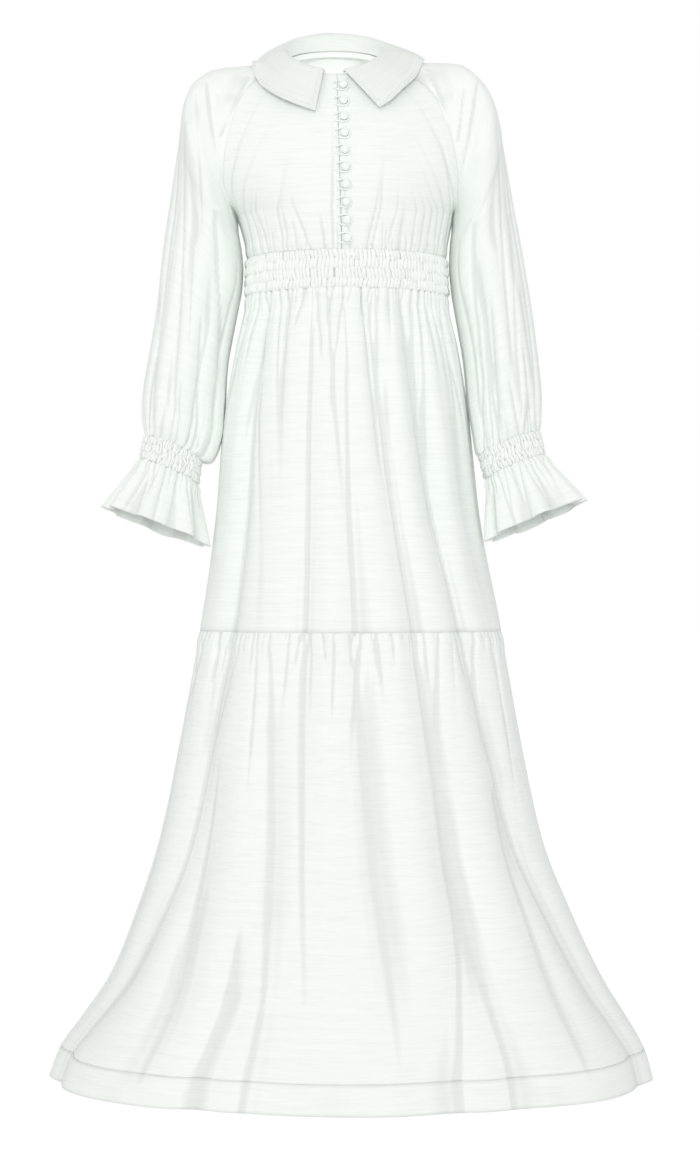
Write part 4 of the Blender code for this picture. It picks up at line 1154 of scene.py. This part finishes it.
@dataclass
class Bodice:
    """The buttoned front halves and the back, with the raglan seams that the sleeves share."""

    finishes: Finishes
    rows: int = 74
    columns: int = 96
    gathers: Gathers = Gathers(26, 0.0029, 0.046, 31, 0.0024, 0.007)
    back_gathers: Gathers = Gathers(24, 0.0032, 0.050, 32, 0.0026, 0.008)
    fine: Gathers = Gathers(56, 0.0018, 0.020, 33, 0.0016, 0.004)

    @staticmethod
    def seam(rows: Sequence[Row], side: Side, t: np.ndarray) -> np.ndarray:
        """Points of the seam edge at places t in the table of rows."""
        lean, half, y, z = read_table(rows, t, range(len(rows)), "lean", "half", "seam_y", "seam_z")
        return np.stack([lean + side.value * half, y, z], axis=-1)

    @staticmethod
    def opening_x(z: np.ndarray) -> np.ndarray:
        """Where the front opening runs at a height."""
        return smooth(z, (FRONT[0].mid_z, WAIST_TOP), (OPENING_TOP_X, OPENING_LOW_X))

    def half(self, rows: Sequence[Row], side: Side, t: np.ndarray, share: np.ndarray) -> np.ndarray:
        """Points of one half of the front or back.

        Each row is an arc of an ellipse from the panel's middle, which it leaves square, to its seam.
        With the turn a, the arc's width goes as sin(share a) / sin a, and its depth as
        (cos(share a) - cos a) / (1 - cos a). The height goes as the square of the share.

        Args:
            rows: The table of rows.
            side: Which half.
            t: Places in the table, as (rows, 1).
            share: Share of the way from the middle to the seam, as (1, columns).

        Returns:
            Points as (rows, columns, 3).
        """
        edge = self.seam(rows, side, t)
        lean, mid_y, mid_z, turn = read_table(rows, t, range(len(rows)), "lean", "mid_y", "mid_z", "turn")
        middle = self.opening_x(mid_z) if rows is FRONT else lean
        turn = np.radians(turn)
        across = np.sin(share * turn) / np.sin(turn)
        forward = (np.cos(share * turn) - np.cos(turn)) / (1 - np.cos(turn))
        x = middle + (edge[..., 0] - middle) * across
        y = edge[..., 1] + (mid_y - edge[..., 1]) * forward
        z = mid_z + (edge[..., 2] - mid_z) * share**2
        return np.stack([x, y, z], axis=-1)

    def whole(self, right: np.ndarray, left: np.ndarray) -> np.ndarray:
        """Both halves of a panel as one grid, from its right seam to its left one."""
        return np.concatenate([right[:, ::-1], left[:, 1:]], axis=1)

    def creased(self, rows: Sequence[Row], side: Side, t: np.ndarray, share: np.ndarray) -> np.ndarray:
        """Points of a half with gathers above the waist, soft pulls at the armhole and pinched seams.

        Args:
            rows: The table of rows.
            side: Which half.
            t: Places in the table, as (rows, 1).
            share: Share of the way from the middle to the seam, as (1, columns).

        Returns:
            Points as (rows, columns, 3).
        """
        front = rows is FRONT
        grid = self.half(rows, side, t, share)
        place = 0.5 + 0.5 * side.value * share
        above = grid[..., 2] - WAIST_TOP
        width = row_lengths(grid, False) * 2
        gathers = self.gathers if front else self.back_gathers
        depth = gathers.pull(place, above, width) + self.fine.pull(place, above, width)
        for at, reach, tilt, size in ARMHOLE_PULLS:
            line = at - tilt * np.clip(7.2 - t, 0, 7) / 3
            depth = depth + size * bell(share - line, 0.036) * bell(t - 6.2, reach)
        for at, size in SIDE_PULLS:
            depth = depth + size * bell(share - at - 0.01 * (t - 8), 0.020) * ramp((t - 5.4) / 1.8)
        pinch = 0.0006 * bell((1 - share) * width / 2, 0.0026) + 0.0005 * bell(above, 0.0030)
        pinch = pinch - 0.0018 * bell(above - 0.009, 0.008)
        outwards = looks_along(grid, False, FORWARDS if front else -FORWARDS)
        out = normals_of(grid, False) * (1 if outwards else -1)
        fade = ramp(share / 0.04) if front else 1.0
        return grid - out * (depth * fade + pinch)[..., None]

    def build(self) -> dict[str, bpy.types.Object]:
        """Makes the three panels.

        Returns:
            The panels by name.
        """
        t = np.linspace(0, LAST_ROW, self.rows)[:, None]
        share = np.linspace(0, 1, self.columns)[None, :] ** 0.94
        cloth = self.finishes.cloth
        panels = {}
        for side in Side:
            grid = self.creased(FRONT, side, t, share)
            grid[:, 0, 0] += side.value * SEAM_GAP / 2
            panel = add_cloth(f"front_{side.word}", f"bodice_front_{side.word}", grid, FORWARDS, cloth)
            panels[panel.name] = panel
        grid = self.whole(*(self.creased(BACK, side, t, share) for side in Side))
        panels["back"] = add_cloth("back", "bodice_back", grid, -FORWARDS, cloth)
        return panels

    def placket(self) -> None:
        """Makes the strip behind the opening and the stitching beside it."""
        t = np.linspace(0, LAST_ROW, 60)[:, None]
        share = np.linspace(0, 0.12, 9)[None, :]
        grid = self.whole(*(self.half(FRONT, side, t, share) for side in Side))
        inwards = 0.0022 + 0.0030 * bell(grid[..., 2] - WAIST_TOP - 0.025, 0.030)
        grid = grid - FORWARDS * inwards[..., None]
        obj = add_cloth("placket_strip", "button_stand", grid, FORWARDS, self.finishes.cloth,
                        thickness=DOUBLE_CLOTH)
        beside = self.half(FRONT, Side.RIGHT, np.linspace(0.15, 8.8, 120)[:, None], np.array([[0.030]]))
        below = self.half(FRONT, Side.RIGHT, np.array([[8.86]]), np.linspace(0.01, 0.36, 60)[None, :])
        paths = [(beside[:, 0] + 0.0002 * FORWARDS, FORWARDS), (below[0] + 0.0003 * FORWARDS, FORWARDS)]
        add_stitches("placket_stitching", paths, self.finishes.thread)


@dataclass
class Sleeve:
    """A raglan bishop sleeve, its smocked wrist and its ruffle."""

    finishes: Finishes
    side: Side
    rings: Sequence[Ring]
    wrist: Ring
    hem: Ring
    creases: Sequence[SleeveFold]
    drapes: Sequence[Drape]
    seed: int
    columns: int = 192
    rows: int = 96
    fine_rows: int = 600
    smocking: Smocking = Smocking(3, 44, 0.0042, 41)

    def ring_points(self, ring: Ring, count: int) -> np.ndarray:
        """A ring as an ellipse between its ends, bowed out by the sine squared of the angle.

        Args:
            ring: The ring.
            count: How many points.

        Returns:
            Points as (count, 3), from the outer end round the front.
        """
        angle = TURN * shares_round(count)[:, None]
        sign = self.side.value
        outer = np.array([sign * ring.outer, ring.centre_y, ring.outer_z])
        inner = np.array([sign * ring.inner, ring.centre_y, ring.inner_z])
        forward = np.array([0, -1, NOD]) * ring.half_depth
        bow = np.array([sign * ring.bow, 0, 0])
        centre, half = (outer + inner) / 2, (outer - inner) / 2
        return centre + half * np.cos(angle) + forward * np.sin(angle) + bow * np.sin(angle) ** 2

    def shoulder(self, count: int) -> np.ndarray:
        """The first ring: the neck's side, the front raglan seam, the armpit and the back seam.

        Each half of it goes down its seam from the neck, and its first step leads from the neck's
        side to the seam's upper end.

        Args:
            count: How many points.

        Returns:
            Points as (count, 3).
        """
        step = shares_round(count) * SHOULDER_COLUMNS
        last = SHOULDER_COLUMNS // 2 - 1
        top = np.array([NECK_X + self.side.value * NECK_HALF_WIDTH, -0.002, 0.0])
        halves = []
        for rows, way in ((FRONT, step), (BACK, SHOULDER_COLUMNS - step)):
            seam = Bodice.seam(rows, self.side, np.clip((way - 1) / last * ARMPIT_ROW, 0, ARMPIT_ROW))
            halves.append(top + (seam - top) * ramp(way)[:, None])
        return np.where((step <= SHOULDER_COLUMNS / 2)[:, None], *halves)

    def sleeve_grid(self) -> tuple[np.ndarray, np.ndarray]:
        """The sleeve's points, with its folds, creases and gathers, and rough outward directions.

        A fold is a bell across its line, whose depth goes as a half sine to a power along its run. The
        rows crowd towards the shoulder and the wrist.

        Returns:
            The points and the directions as (rows, columns, 3).
        """
        rings = [self.shoulder(self.columns)] + [self.ring_points(ring, self.columns) for ring in self.rings]
        last = self.fine_rows - 1
        picked = np.interp(np.linspace(0, 1, self.rows), (0, 0.45, 0.78, 1), (0, 132, 470, last))
        grid = spline_rows(np.stack(rings), self.fine_rows)[np.round(picked).astype(int)]
        out = unit(grid - grid.mean(axis=1, keepdims=True))
        along = picked[:, None] / last
        place = shares_round(self.columns)[None, :]
        depth = self.draped(grid, out)
        for fold in (*SLEEVE_FOLDS, *self.creases):
            run = ramp((along - fold.start) / (fold.end - fold.start))
            off = (place - fold.start_at - (fold.end_at - fold.start_at) * run + 0.5) % 1 - 0.5
            depth = depth + fold.depth * np.sin(math.pi * run) ** 0.7 * bell(off, fold.half_width)
        up = arc_lengths(grid[::-1])[::-1].mean(axis=1, keepdims=True)
        for gathers in (Gathers(26, 0.0066, 0.078, self.seed, 0.0028, 0.010),
                        Gathers(50, 0.0022, 0.022, self.seed + 1, 0.0018, 0.004)):
            depth = depth + gathers.pull(place, up, row_lengths(grid, True))
        swell = Undulation(6, 0.0016, self.seed + 2, 2).swell(place, along)
        free = ramp(along / 0.10) * ramp(up / 0.03)
        seam = 0.0005 * bell(along, 0.006)
        return grid - out * (depth - swell * free + seam)[..., None], out

    def draped(self, grid: np.ndarray, out: np.ndarray) -> np.ndarray:
        """How far the hanging creases pull the sleeve in, in front and, a little aside, behind.

        Each crease is a narrow bell across its line in front view and a wide low one on its shaded
        side. The line is the parabola through its three places, and the depth goes along it as the
        root of a half sine.

        Args:
            grid: The sleeve's points.
            out: Their outward directions.

        Returns:
            The depth at each point.
        """
        depth = np.zeros(grid.shape[:2])
        for facing, aside in ((-1, 0.0), (1, BACK_SHIFT)):
            seen = ramp(0.5 + 1.6 * facing * out[..., 1])
            for fold in self.drapes:
                run = (fold.top_z - grid[..., 2]) / (fold.top_z - fold.low_z)
                bow = fold.mid_x - (fold.top_x + fold.low_x) / 2
                line = fold.top_x + (fold.low_x - fold.top_x) * run + 4 * bow * run * (1 - run)
                off = grid[..., 0] - line - aside
                along = np.sqrt(ramp(np.sin(math.pi * ramp(run))))
                shade = 0.45 * bell(off - fold.shaded * 2.2 * fold.half_width, 2.4 * fold.half_width)
                depth = depth + seen * along * fold.depth * (bell(off, fold.half_width) + shade)
        return depth

    def build(self) -> bpy.types.Object:
        """Makes the sleeve, the smocked band and the ruffle.

        Returns:
            The sleeve.
        """
        word = self.side.word
        grid, out = self.sleeve_grid()
        sleeve = add_cloth(f"raglan_{word}", f"sleeve_{word}", grid, out, self.finishes.cloth, True, 0.46)
        self.band(word)
        self.ruffle(word)
        return sleeve

    def between(self, top: Ring, low: Ring, count: int, level: np.ndarray) -> tuple[np.ndarray, np.ndarray]:
        """A straight wall between two rings.

        Args:
            top: The upper ring.
            low: The lower ring.
            count: How many columns.
            level: Share of the way down, as (rows, 1).

        Returns:
            Its points and rough outward directions as (rows, columns, 3).
        """
        start, end = self.ring_points(top, count), self.ring_points(low, count)
        wall = start + (end - start) * level[..., None]
        return wall, unit(wall - wall.mean(axis=1, keepdims=True))

    def band(self, word: str, count: int = 320, levels: int = 25, overlap: float = 0.03) -> None:
        """Makes the smocked wrist.

        Args:
            word: The side.
            count: How many columns.
            levels: How many rows.
            overlap: How far it laps over its neighbours, as a share of its height.
        """
        level = np.linspace(0, 1, levels)[:, None]
        wall, out = self.between(self.rings[-1], self.wrist, count, (1 + 2 * overlap) * level - overlap)
        raised = self.smocking.raised(shares_round(count)[None, :], level) - 0.0004
        obj = add_cloth(f"wrist_smocking_{word}", f"wristband_{word}", wall + out * raised[..., None], out,
                        self.finishes.smocked, True, 0.40, slot="smocked_cloth")

    def ruffle(self, word: str, count: int = 300, levels: int = 27) -> None:
        """Makes the flared ruffle: eight deep flutes, uneven, that start as finer gathers at the band.

        The flutes are a sum of cosines round it, and they deepen from the band to the edge.

        Args:
            word: The side.
            count: How many columns.
            levels: How many rows.
        """
        level = np.linspace(0.006, 1, levels)[:, None]
        wall, out = self.between(self.wrist, self.hem, count, level)
        place = shares_round(count)[None, :]
        angle = TURN * place
        flute = np.cos(8 * angle + 0.6 + 0.5 * np.sin(2 * angle)) + 0.35 * np.cos(5 * angle + 2.0)
        flute = flute + 0.25 * np.cos(13 * angle + self.seed)
        depth = smooth(level, (0, 0.3, 0.65, 1.0), (0.0008, 0.0038, 0.0066, 0.0090))
        length = float(np.linalg.norm(wall[-1] - wall[0], axis=1).mean()) / np.ptp(level)
        gathers = Gathers(34, 0.0050, 0.050, self.seed + 5, 0.0021, 0.006)
        pull = gathers.pull(place, level * length, row_lengths(wall, True))
        pull = pull + 0.0010 * bell((1 - level) * length - 0.006, 0.0016)
        puff = 0.0030 * bell(level - 0.09, 0.07) + 0.0008 * ramp(level * 6)
        grid = wall + out * (depth * (0.85 * flute - 0.55) - pull + puff)[..., None]
        obj = add_cloth(f"ruffle_{word}", f"wrist_ruffle_{word}", grid, out, self.finishes.cloth, True, 0.60)
        row = int(levels * 0.93)
        add_stitches(f"ruffle_stitching_{word}", [(grid[row], out[row])], self.finishes.thread,
                     pitch=0.0026, length=0.0018)


@dataclass
class Collar:
    """The fold-over collar, its edge stitching and the binding of the back neck."""

    finishes: Finishes
    carriers: Sequence[bpy.types.Object]
    coarse: int = 48
    columns: int = 170
    rows: int = 34
    clear: float = 0.0014
    look: float = 0.005
    seek: float = 0.12
    rise: float = 0.8
    ridge: float = 0.012
    insets: tuple[float, float] = (0.0019, 0.0056)
    fine: tuple[int, int] = (160, 500)
    leaf_row: int = -8
    roll_share: float = 0.42

    @staticmethod
    def neckline(angle: np.ndarray) -> tuple[np.ndarray, np.ndarray]:
        """The neckline: an ellipse with its own front and back depth, which dips in front and rises behind.

        Args:
            angle: Degrees round it.

        Returns:
            Its points and the outward level directions.
        """
        cos, sin = np.cos(np.radians(angle)), np.sin(np.radians(angle))
        deep = np.where(sin > 0, NECK_FRONT, NECK_BACK)
        height = np.where(sin > 0, -NECK_FRONT_DROP * np.abs(sin) ** 1.5, NECK_BACK_RISE * np.abs(sin))
        points = np.stack([NECK_X + NECK_HALF_WIDTH * cos, -deep * sin, height], axis=-1)
        return points, unit(np.stack([cos / NECK_HALF_WIDTH, -sin / deep, 0 * sin], axis=-1))

    def pushed_clear(self, points: np.ndarray, trees: Sequence[BVHTree]) -> np.ndarray:
        """Moves a coarse row of points forwards, upwards or backwards until it is clear of the cloth.

        A point before the shoulder's ridge moves forwards and one behind it moves backwards: the way is
        the unit vector of (0, tanh(distance behind the ridge / ridge), rise).

        Args:
            points: The row of points.
            trees: What it must clear.

        Returns:
            The moved points.
        """
        moved = points.copy()
        level = Vector((1, 0, 0))
        for k, point in enumerate(points):
            spot = Vector(point)
            way = Vector((0, math.tanh((spot.y - SIDE_Y) / self.ridge), self.rise)).normalized()
            other = way.cross(level)
            reach = 0.0
            for aside in (Vector(), level, -level, other, -other):
                beside = spot + aside * self.look
                for tree in trees:
                    hit, normal, _, _ = tree.ray_cast(beside + way * self.seek, -way, self.seek)
                    if hit is not None:
                        slant = max(abs(normal.dot(way)), 0.35)
                        reach = max(reach, (hit - beside).dot(way) + self.clear / slant)
            moved[k] = spot + way * reach
        return moved

    def under_grid(self) -> np.ndarray:
        """The collar's under face, from the neckline over the roll to the outer edge.

        Returns:
            A fine grid whose rows and columns crowd at the stitched edges.
        """
        trees = trees_of(self.carriers)
        angle = np.linspace(COLLAR[0].angle, COLLAR[-1].angle, self.coarse)
        stand, *edge = read_table(COLLAR, angle, [row.angle for row in COLLAR], "stand", "edge_x", "edge_y",
                                  "edge_z")
        stand, edge = stand[:, None], np.stack(edge, axis=-1)
        base, out = self.neckline(angle)
        rows = [base + out * away + UPWARDS * (lift + share * stand) for away, lift, share in STAND_ROWS]
        roll = rows[-1]
        bulge = (out * 0.010 + UPWARDS * 0.004) * stand / max(row.stand for row in COLLAR)
        for share in (0.06, 0.14, 0.27, 0.4, 0.55, 0.7, 0.85, 1.0):
            line = roll + (edge - roll) * share + bulge * 4 * share * (1 - share)
            rows.append(self.pushed_clear(line, trees))
        grid = spline_rows(np.stack(rows), self.fine[0])
        grid = spline_rows(grid.transpose(1, 0, 2), self.fine[1]).transpose(1, 0, 2)
        near = np.concatenate([[0, 0.0007], np.arange(0.0014, 0.0100, 0.0007), [0.0112]])
        grid = spread_rows(grid, near, self.rows, False)
        return spread_rows(grid.transpose(1, 0, 2), near, self.columns, True).transpose(1, 0, 2)

    def build(self) -> None:
        """Makes the collar with two stitched rows along its edges, and the neck binding."""
        under = self.under_grid()
        rows, columns = under.shape[:2]
        normals = normals_of(under, False)
        normals = normals * (1 if normals[self.leaf_row, :, 2].mean() >= 0 else -1)
        from_edge = arc_lengths(under[::-1])[::-1]
        from_start = arc_lengths(under, 1)
        length = from_start[:, -1:]
        near = np.minimum(np.minimum(from_edge, from_start), length - from_start)
        groove = 0.0011 * (bell(near - self.insets[0], 0.0006) + bell(near - self.insets[1], 0.0007))
        waves = Undulation(9, 0.0012, 51, 2).swell(from_start / length * 0.5, from_edge) * ramp(near / 0.02)
        puff = 0.0010 * ramp(near / 0.002) ** 0.5
        top = under + normals * (DOUBLE_CLOTH + puff - groove + np.abs(waves))[..., None]
        obj = self.closed_leaf("collar_leaf", "collar", top, under)
        paths = []
        for inset in self.insets:
            row = rows - 1 - int(np.argmax(from_edge[::-1].mean(axis=1) > inset))
            first = int(np.argmax(from_start[rows // 2] > inset))
            last = columns - 1 - first
            paths.append((top[row, first:last], normals[row, first:last]))
            ends = slice(int(rows * self.roll_share), row)
            paths += [(top[ends, column], normals[ends, column]) for column in (first, last)]
        add_stitches("collar_stitching", paths, self.finishes.thread, pitch=0.0028, length=0.0020)
        self.binding()

    def binding(self) -> None:
        """Makes the strip that binds the back neck: it hangs from the neckline with a low crown."""
        base, out = self.neckline(np.linspace(198, 342, 120))
        level = np.linspace(0, 1, 7)[:, None, None]
        inwards = CLOTH + 0.0006 + 0.0004 * level + 0.0006 * np.sin(math.pi * level)
        grid = base - out * inwards - UPWARDS * (0.0077 * level - 0.0002)
        obj = add_cloth("back_neck_binding", "neck_binding", grid, -out, self.finishes.cloth,
                        slot="covered_trim")

    def closed_leaf(self, name: str, node: str, top: np.ndarray, under: np.ndarray) -> bpy.types.Object:
        """Joins an upper and an under face into one closed leaf with rounded edges.

        Args:
            name: The piece's name.
            node: The solid that it replaces.
            top: Points of the upper face as (rows, columns, 3).
            under: Points of the under face, in the same order.

        Returns:
            The piece.
        """
        rows, columns = top.shape[:2]
        outwards = looks_along(top, False, top - under)
        points, places = grid_faces(2 * rows, columns, False, outwards)
        row, inner = np.arange(rows) * columns, np.arange(columns)
        far = (2 * rows - 1) * columns
        rims = []
        for upper, lower, same in ((row, far - row, outwards),
                                   (row + columns - 1, far - row + columns - 1, not outwards),
                                   (far + inner, inner, outwards)):
            quads = np.stack([upper[:-1], upper[1:], lower[1:], lower[:-1]], axis=1)
            rims.append(quads if same else quads[:, ::-1])
        flat = cloth_map(top, False)
        # The collar takes the greyer jersey: painted shade.
        obj = add_mesh(name, np.concatenate([top, under[::-1]]), np.concatenate([points, *rims]),
                       self.finishes.shaded_collar, np.concatenate([places, *rims]),
                       np.concatenate([flat, flat[::-1]]))
        return dress(obj, "slub_cloth", node)


@dataclass
class Closure:
    """The covered buttons and their cloth loops."""

    finishes: Finishes
    fronts: Sequence[bpy.types.Object]
    count: int = 10
    top_z: float = -0.053
    low_z: float = -0.265
    offset: float = 0.0078
    radius: float = 0.0056
    height: float = 0.0064
    reach: float = 0.0070
    cord: float = 0.0014
    before: float = -0.3
    button_grid: tuple[int, int] = (22, 40)
    loop_grid: tuple[int, int] = (60, 12)

    def seat(self, x: float, z: float, trees: Sequence[BVHTree]) -> tuple[Vector, Vector]:
        """Finds the front's outermost point at a place in front view.

        Args:
            x: The place across.
            z: The place's height.
            trees: The fronts.

        Returns:
            The point and the outward direction there.
        """
        hits = [tree.ray_cast(Vector((x, self.before, z)), Vector((0, 1, 0)))[:2] for tree in trees]
        return min((hit for hit in hits if hit[0] is not None), key=lambda hit: hit[0].y)

    def button(self, number: int, spot: Vector, out: Vector, up: Vector) -> None:
        """Makes a covered button: a dome whose profile is turned round, with the cover's small pleats.

        With the share t from the crown to the back, the radius goes as a power of sin(pi t) and the
        height as cos(pi t). The cover's pleats are a cosine round the rim.

        Args:
            number: Which button, from the top.
            spot: Its middle on the cloth.
            out: The outward direction there.
            up: The upward direction there.
        """
        across, out, up = np.array(up.cross(out).normalized()), np.array(out), np.array(up)
        t = np.linspace(0.02, 0.98, self.button_grid[0])[:, None]
        angle = TURN * shares_round(self.button_grid[1])[None, :]
        rng = np.random.default_rng(60 + number)
        rim = np.sin(math.pi * t) ** 0.8
        pleats = 1 + 0.06 * rim * np.cos(11 * angle + rng.uniform(0, 6)) * ramp((t - 0.3) * 4)
        dents = 1 + 0.03 * np.cos(3 * angle + rng.uniform(0, 6)) * rim
        wide = (self.radius * 1.04 * rim * pleats * dents)[..., None]
        turned = across * np.cos(angle)[..., None] + up * np.sin(angle)[..., None]
        from_centre = wide * turned + out * (self.height / 2 * np.cos(math.pi * t))[..., None]
        centre = np.array(spot) + out * (self.height / 2 + 0.0006)
        add_trim(f"covered_button_{number:02d}", f"button_{number:02d}", centre + from_centre, from_centre,
                 self.finishes.cloth, 0.7)

    def loop(self, number: int, edge: float, height: float, trees: Sequence[BVHTree]) -> None:
        """Makes a cloth loop: two legs from the opening's edge and a half turn round the button.

        A round tube is carried along the path: each ring is the path's point plus the cord's radius
        times the cosine and sine of the angle on the two directions across it.

        Args:
            number: Which loop, from the top.
            edge: The opening's place across.
            height: The button's height.
            trees: The fronts.
        """
        turn = np.radians(np.linspace(75, -75, 9))
        bend = np.stack([self.offset + np.cos(turn) * self.reach, np.sin(turn) * self.reach], axis=1)
        leg = np.array(LOOP_LEG)
        route = np.array([edge, height]) + np.concatenate([leg, bend, leg[::-1] * (1, -1)])
        spots, ways = [], []
        for x, z in route:
            spot, facing = self.seat(x, z, trees)
            spots.append(spot + facing * (self.cord + 0.0003))
            ways.append(facing)
        path = spline_rows(np.array(spots)[:, None], self.loop_grid[0])[:, 0]
        lift = unit(spline_rows(np.array(ways)[:, None], self.loop_grid[0])[:, 0])
        along = unit(np.gradient(path, axis=0))
        across = unit(np.cross(along, lift))
        lift = np.cross(across, along)
        angle = TURN * shares_round(self.loop_grid[1])[:, None]
        ring = across[:, None] * np.cos(angle) + lift[:, None] * np.sin(angle)
        add_trim(f"cloth_loop_{number:02d}", f"button_loop_{number:02d}", path[:, None] + ring * self.cord,
                 ring, self.finishes.cloth)

    def build(self) -> None:
        """Makes every button and loop, evenly spaced down the left front."""
        trees = trees_of(self.fronts)
        for number, height in enumerate(np.linspace(self.top_z, self.low_z, self.count), start=1):
            edge = float(Bodice.opening_x(height))
            above, _ = self.seat(edge + self.offset, height + self.radius, trees)
            below, _ = self.seat(edge + self.offset, height - self.radius, trees)
            up = (above - below).normalized()
            out = Vector((1, 0, 0)).cross(up).normalized()
            self.button(number, (above + below) / 2, out, up)
            self.loop(number, edge, float(height), trees)


@dataclass(frozen=True)
class Studio:
    """The camera of the photograph, its white floor and soft light."""

    camera_at: tuple[float, float, float] = (0.007, -3.2, -0.725)
    lens: float = 71.1
    floor_z: float = -1.46
    floor_size: float = 30.0
    fill: float = 0.130

    def build(self) -> None:
        """Makes the camera, the floor and the lights."""
        scene = bpy.context.scene
        camera = bpy.data.cameras.new("photo_camera")
        camera.lens = self.lens
        camera.sensor_width = 36
        scene.camera = self.placed("photo_camera", camera, self.camera_at)
        scene.camera.rotation_euler = (math.pi / 2, 0, 0)
        scene.view_settings.view_transform = "Standard"
        self.floor()
        self.world(scene)
        self.sun("front", (0.02, -1.0, 0.10), 24, 1.00)
        self.sun("side", (-0.8, -1.0, 0.4), 40, 0.16)
        self.neck_fill()

    @staticmethod
    def placed(name: str, data: bpy.types.ID, place: Sequence[float] = (0, 0, 0)) -> bpy.types.Object:
        """A new object of the scene with the given data, at a place.

        Args:
            name: Its name.
            data: The camera or lamp that it holds.
            place: Where it stands.

        Returns:
            The object.
        """
        obj = bpy.data.objects.new(name, data)
        obj.location = place
        bpy.context.scene.collection.objects.link(obj)
        return obj

    def floor(self) -> None:
        """Makes a plain white floor."""
        material, nodes = new_material("studio_floor")
        feed(nodes["Principled BSDF"], {
            "Base Color": (0.2, 0.2, 0.2, 1), "Roughness": 1.0, "Specular IOR Level": 0.0,
            "Emission Color": (1, 1, 1, 1), "Emission Strength": 0.95})
        corners = self.floor_size * np.array([[-1, -1, 0], [1, -1, 0], [1, 1, 0], [-1, 1, 0]])
        points = corners + self.floor_z * UPWARDS
        obj = add_mesh("studio_floor", points, np.array([[0, 1, 2, 3]]), material)
        obj.visible_diffuse = False

    def neck_fill(self) -> None:
        """Makes a small soft lamp inside the neck, so that the inside of the back shows as light cloth."""
        light = bpy.data.lights.new("neck_fill", "POINT")
        light.energy = self.fill
        light.shadow_soft_size = 0.03
        self.placed("neck_fill", light, (NECK_X, 0.012, -0.062))

    @staticmethod
    def world(scene: bpy.types.Scene) -> None:
        """Makes the surroundings: a white backdrop, whose light on the cloth is a softer grey.

        Args:
            scene: The scene.
        """
        scene.world = bpy.data.worlds.new("studio")
        scene.world.use_nodes = True
        nodes = scene.world.node_tree.nodes
        soft = feed(nodes["Background"], {"Color": (1, 1, 1, 1), "Strength": 0.72})
        white = feed(nodes.new("ShaderNodeBackground"), {"Color": (1, 1, 1, 1)})
        seen = nodes.new("ShaderNodeLightPath").outputs["Is Camera Ray"]
        mix = feed(nodes.new("ShaderNodeMixShader"), {
            "Fac": seen, 1: soft.outputs["Background"], 2: white.outputs["Background"]})
        feed(nodes["World Output"], {"Surface": mix.outputs["Shader"]})

    def sun(self, name: str, place: tuple[float, float, float], spread: float, strength: float) -> None:
        """Makes a wide soft lamp that shines from a place towards the origin.

        Args:
            name: Its name.
            place: The direction it shines from.
            spread: How wide it is, in degrees.
            strength: How strong it is.
        """
        light = bpy.data.lights.new(name, "SUN")
        light.angle = math.radians(spread)
        light.energy = strength
        self.placed(name, light).rotation_euler = (-Vector(place)).to_track_quat("-Z", "Y").to_euler()


def main() -> None:
    """Builds the garment's looks in order."""
    logging.basicConfig(level=logging.INFO, format="%(name)s: %(message)s")
    Studio().build()
    # The smocked band's jersey: a slightly lighter, less green white, and deeper painted shade in its
    # creases.
    smocked = SlubJersey("smocked_jersey", (0.924, 0.957, 0.922), (0.85, 0.890, 0.852), crease=0.64)
    # The collar's jersey: the cloth's whites made greyer, as painted shade of a collar that faces upwards.
    shaded_collar = SlubJersey("shaded_collar_jersey", (0.862, 0.901, 0.859), (0.765, 0.808, 0.763))
    finishes = Finishes(SlubJersey().build(), smocked.build(), shaded_collar.build(), SewingThread().build())
    skirt = SkirtForm(finishes)
    Waistband(finishes, skirt).build()
    skirt.build()
    bodice = Bodice(finishes)
    panels = bodice.build()
    bodice.placket()
    right = Sleeve(finishes, Side.RIGHT, RIGHT_SLEEVE, RIGHT_WRIST, RIGHT_RUFFLE, RIGHT_CREASES, RIGHT_DRAPES,
                   seed=71).build()
    left = Sleeve(finishes, Side.LEFT, LEFT_SLEEVE, LEFT_WRIST, LEFT_RUFFLE, LEFT_CREASES, LEFT_DRAPES,
                  seed=81).build()
    Collar(finishes, [*panels.values(), right, left]).build()
    Closure(finishes, [panels["front_right"], panels["front_left"]]).build()


if __name__ == "__main__":
    main()
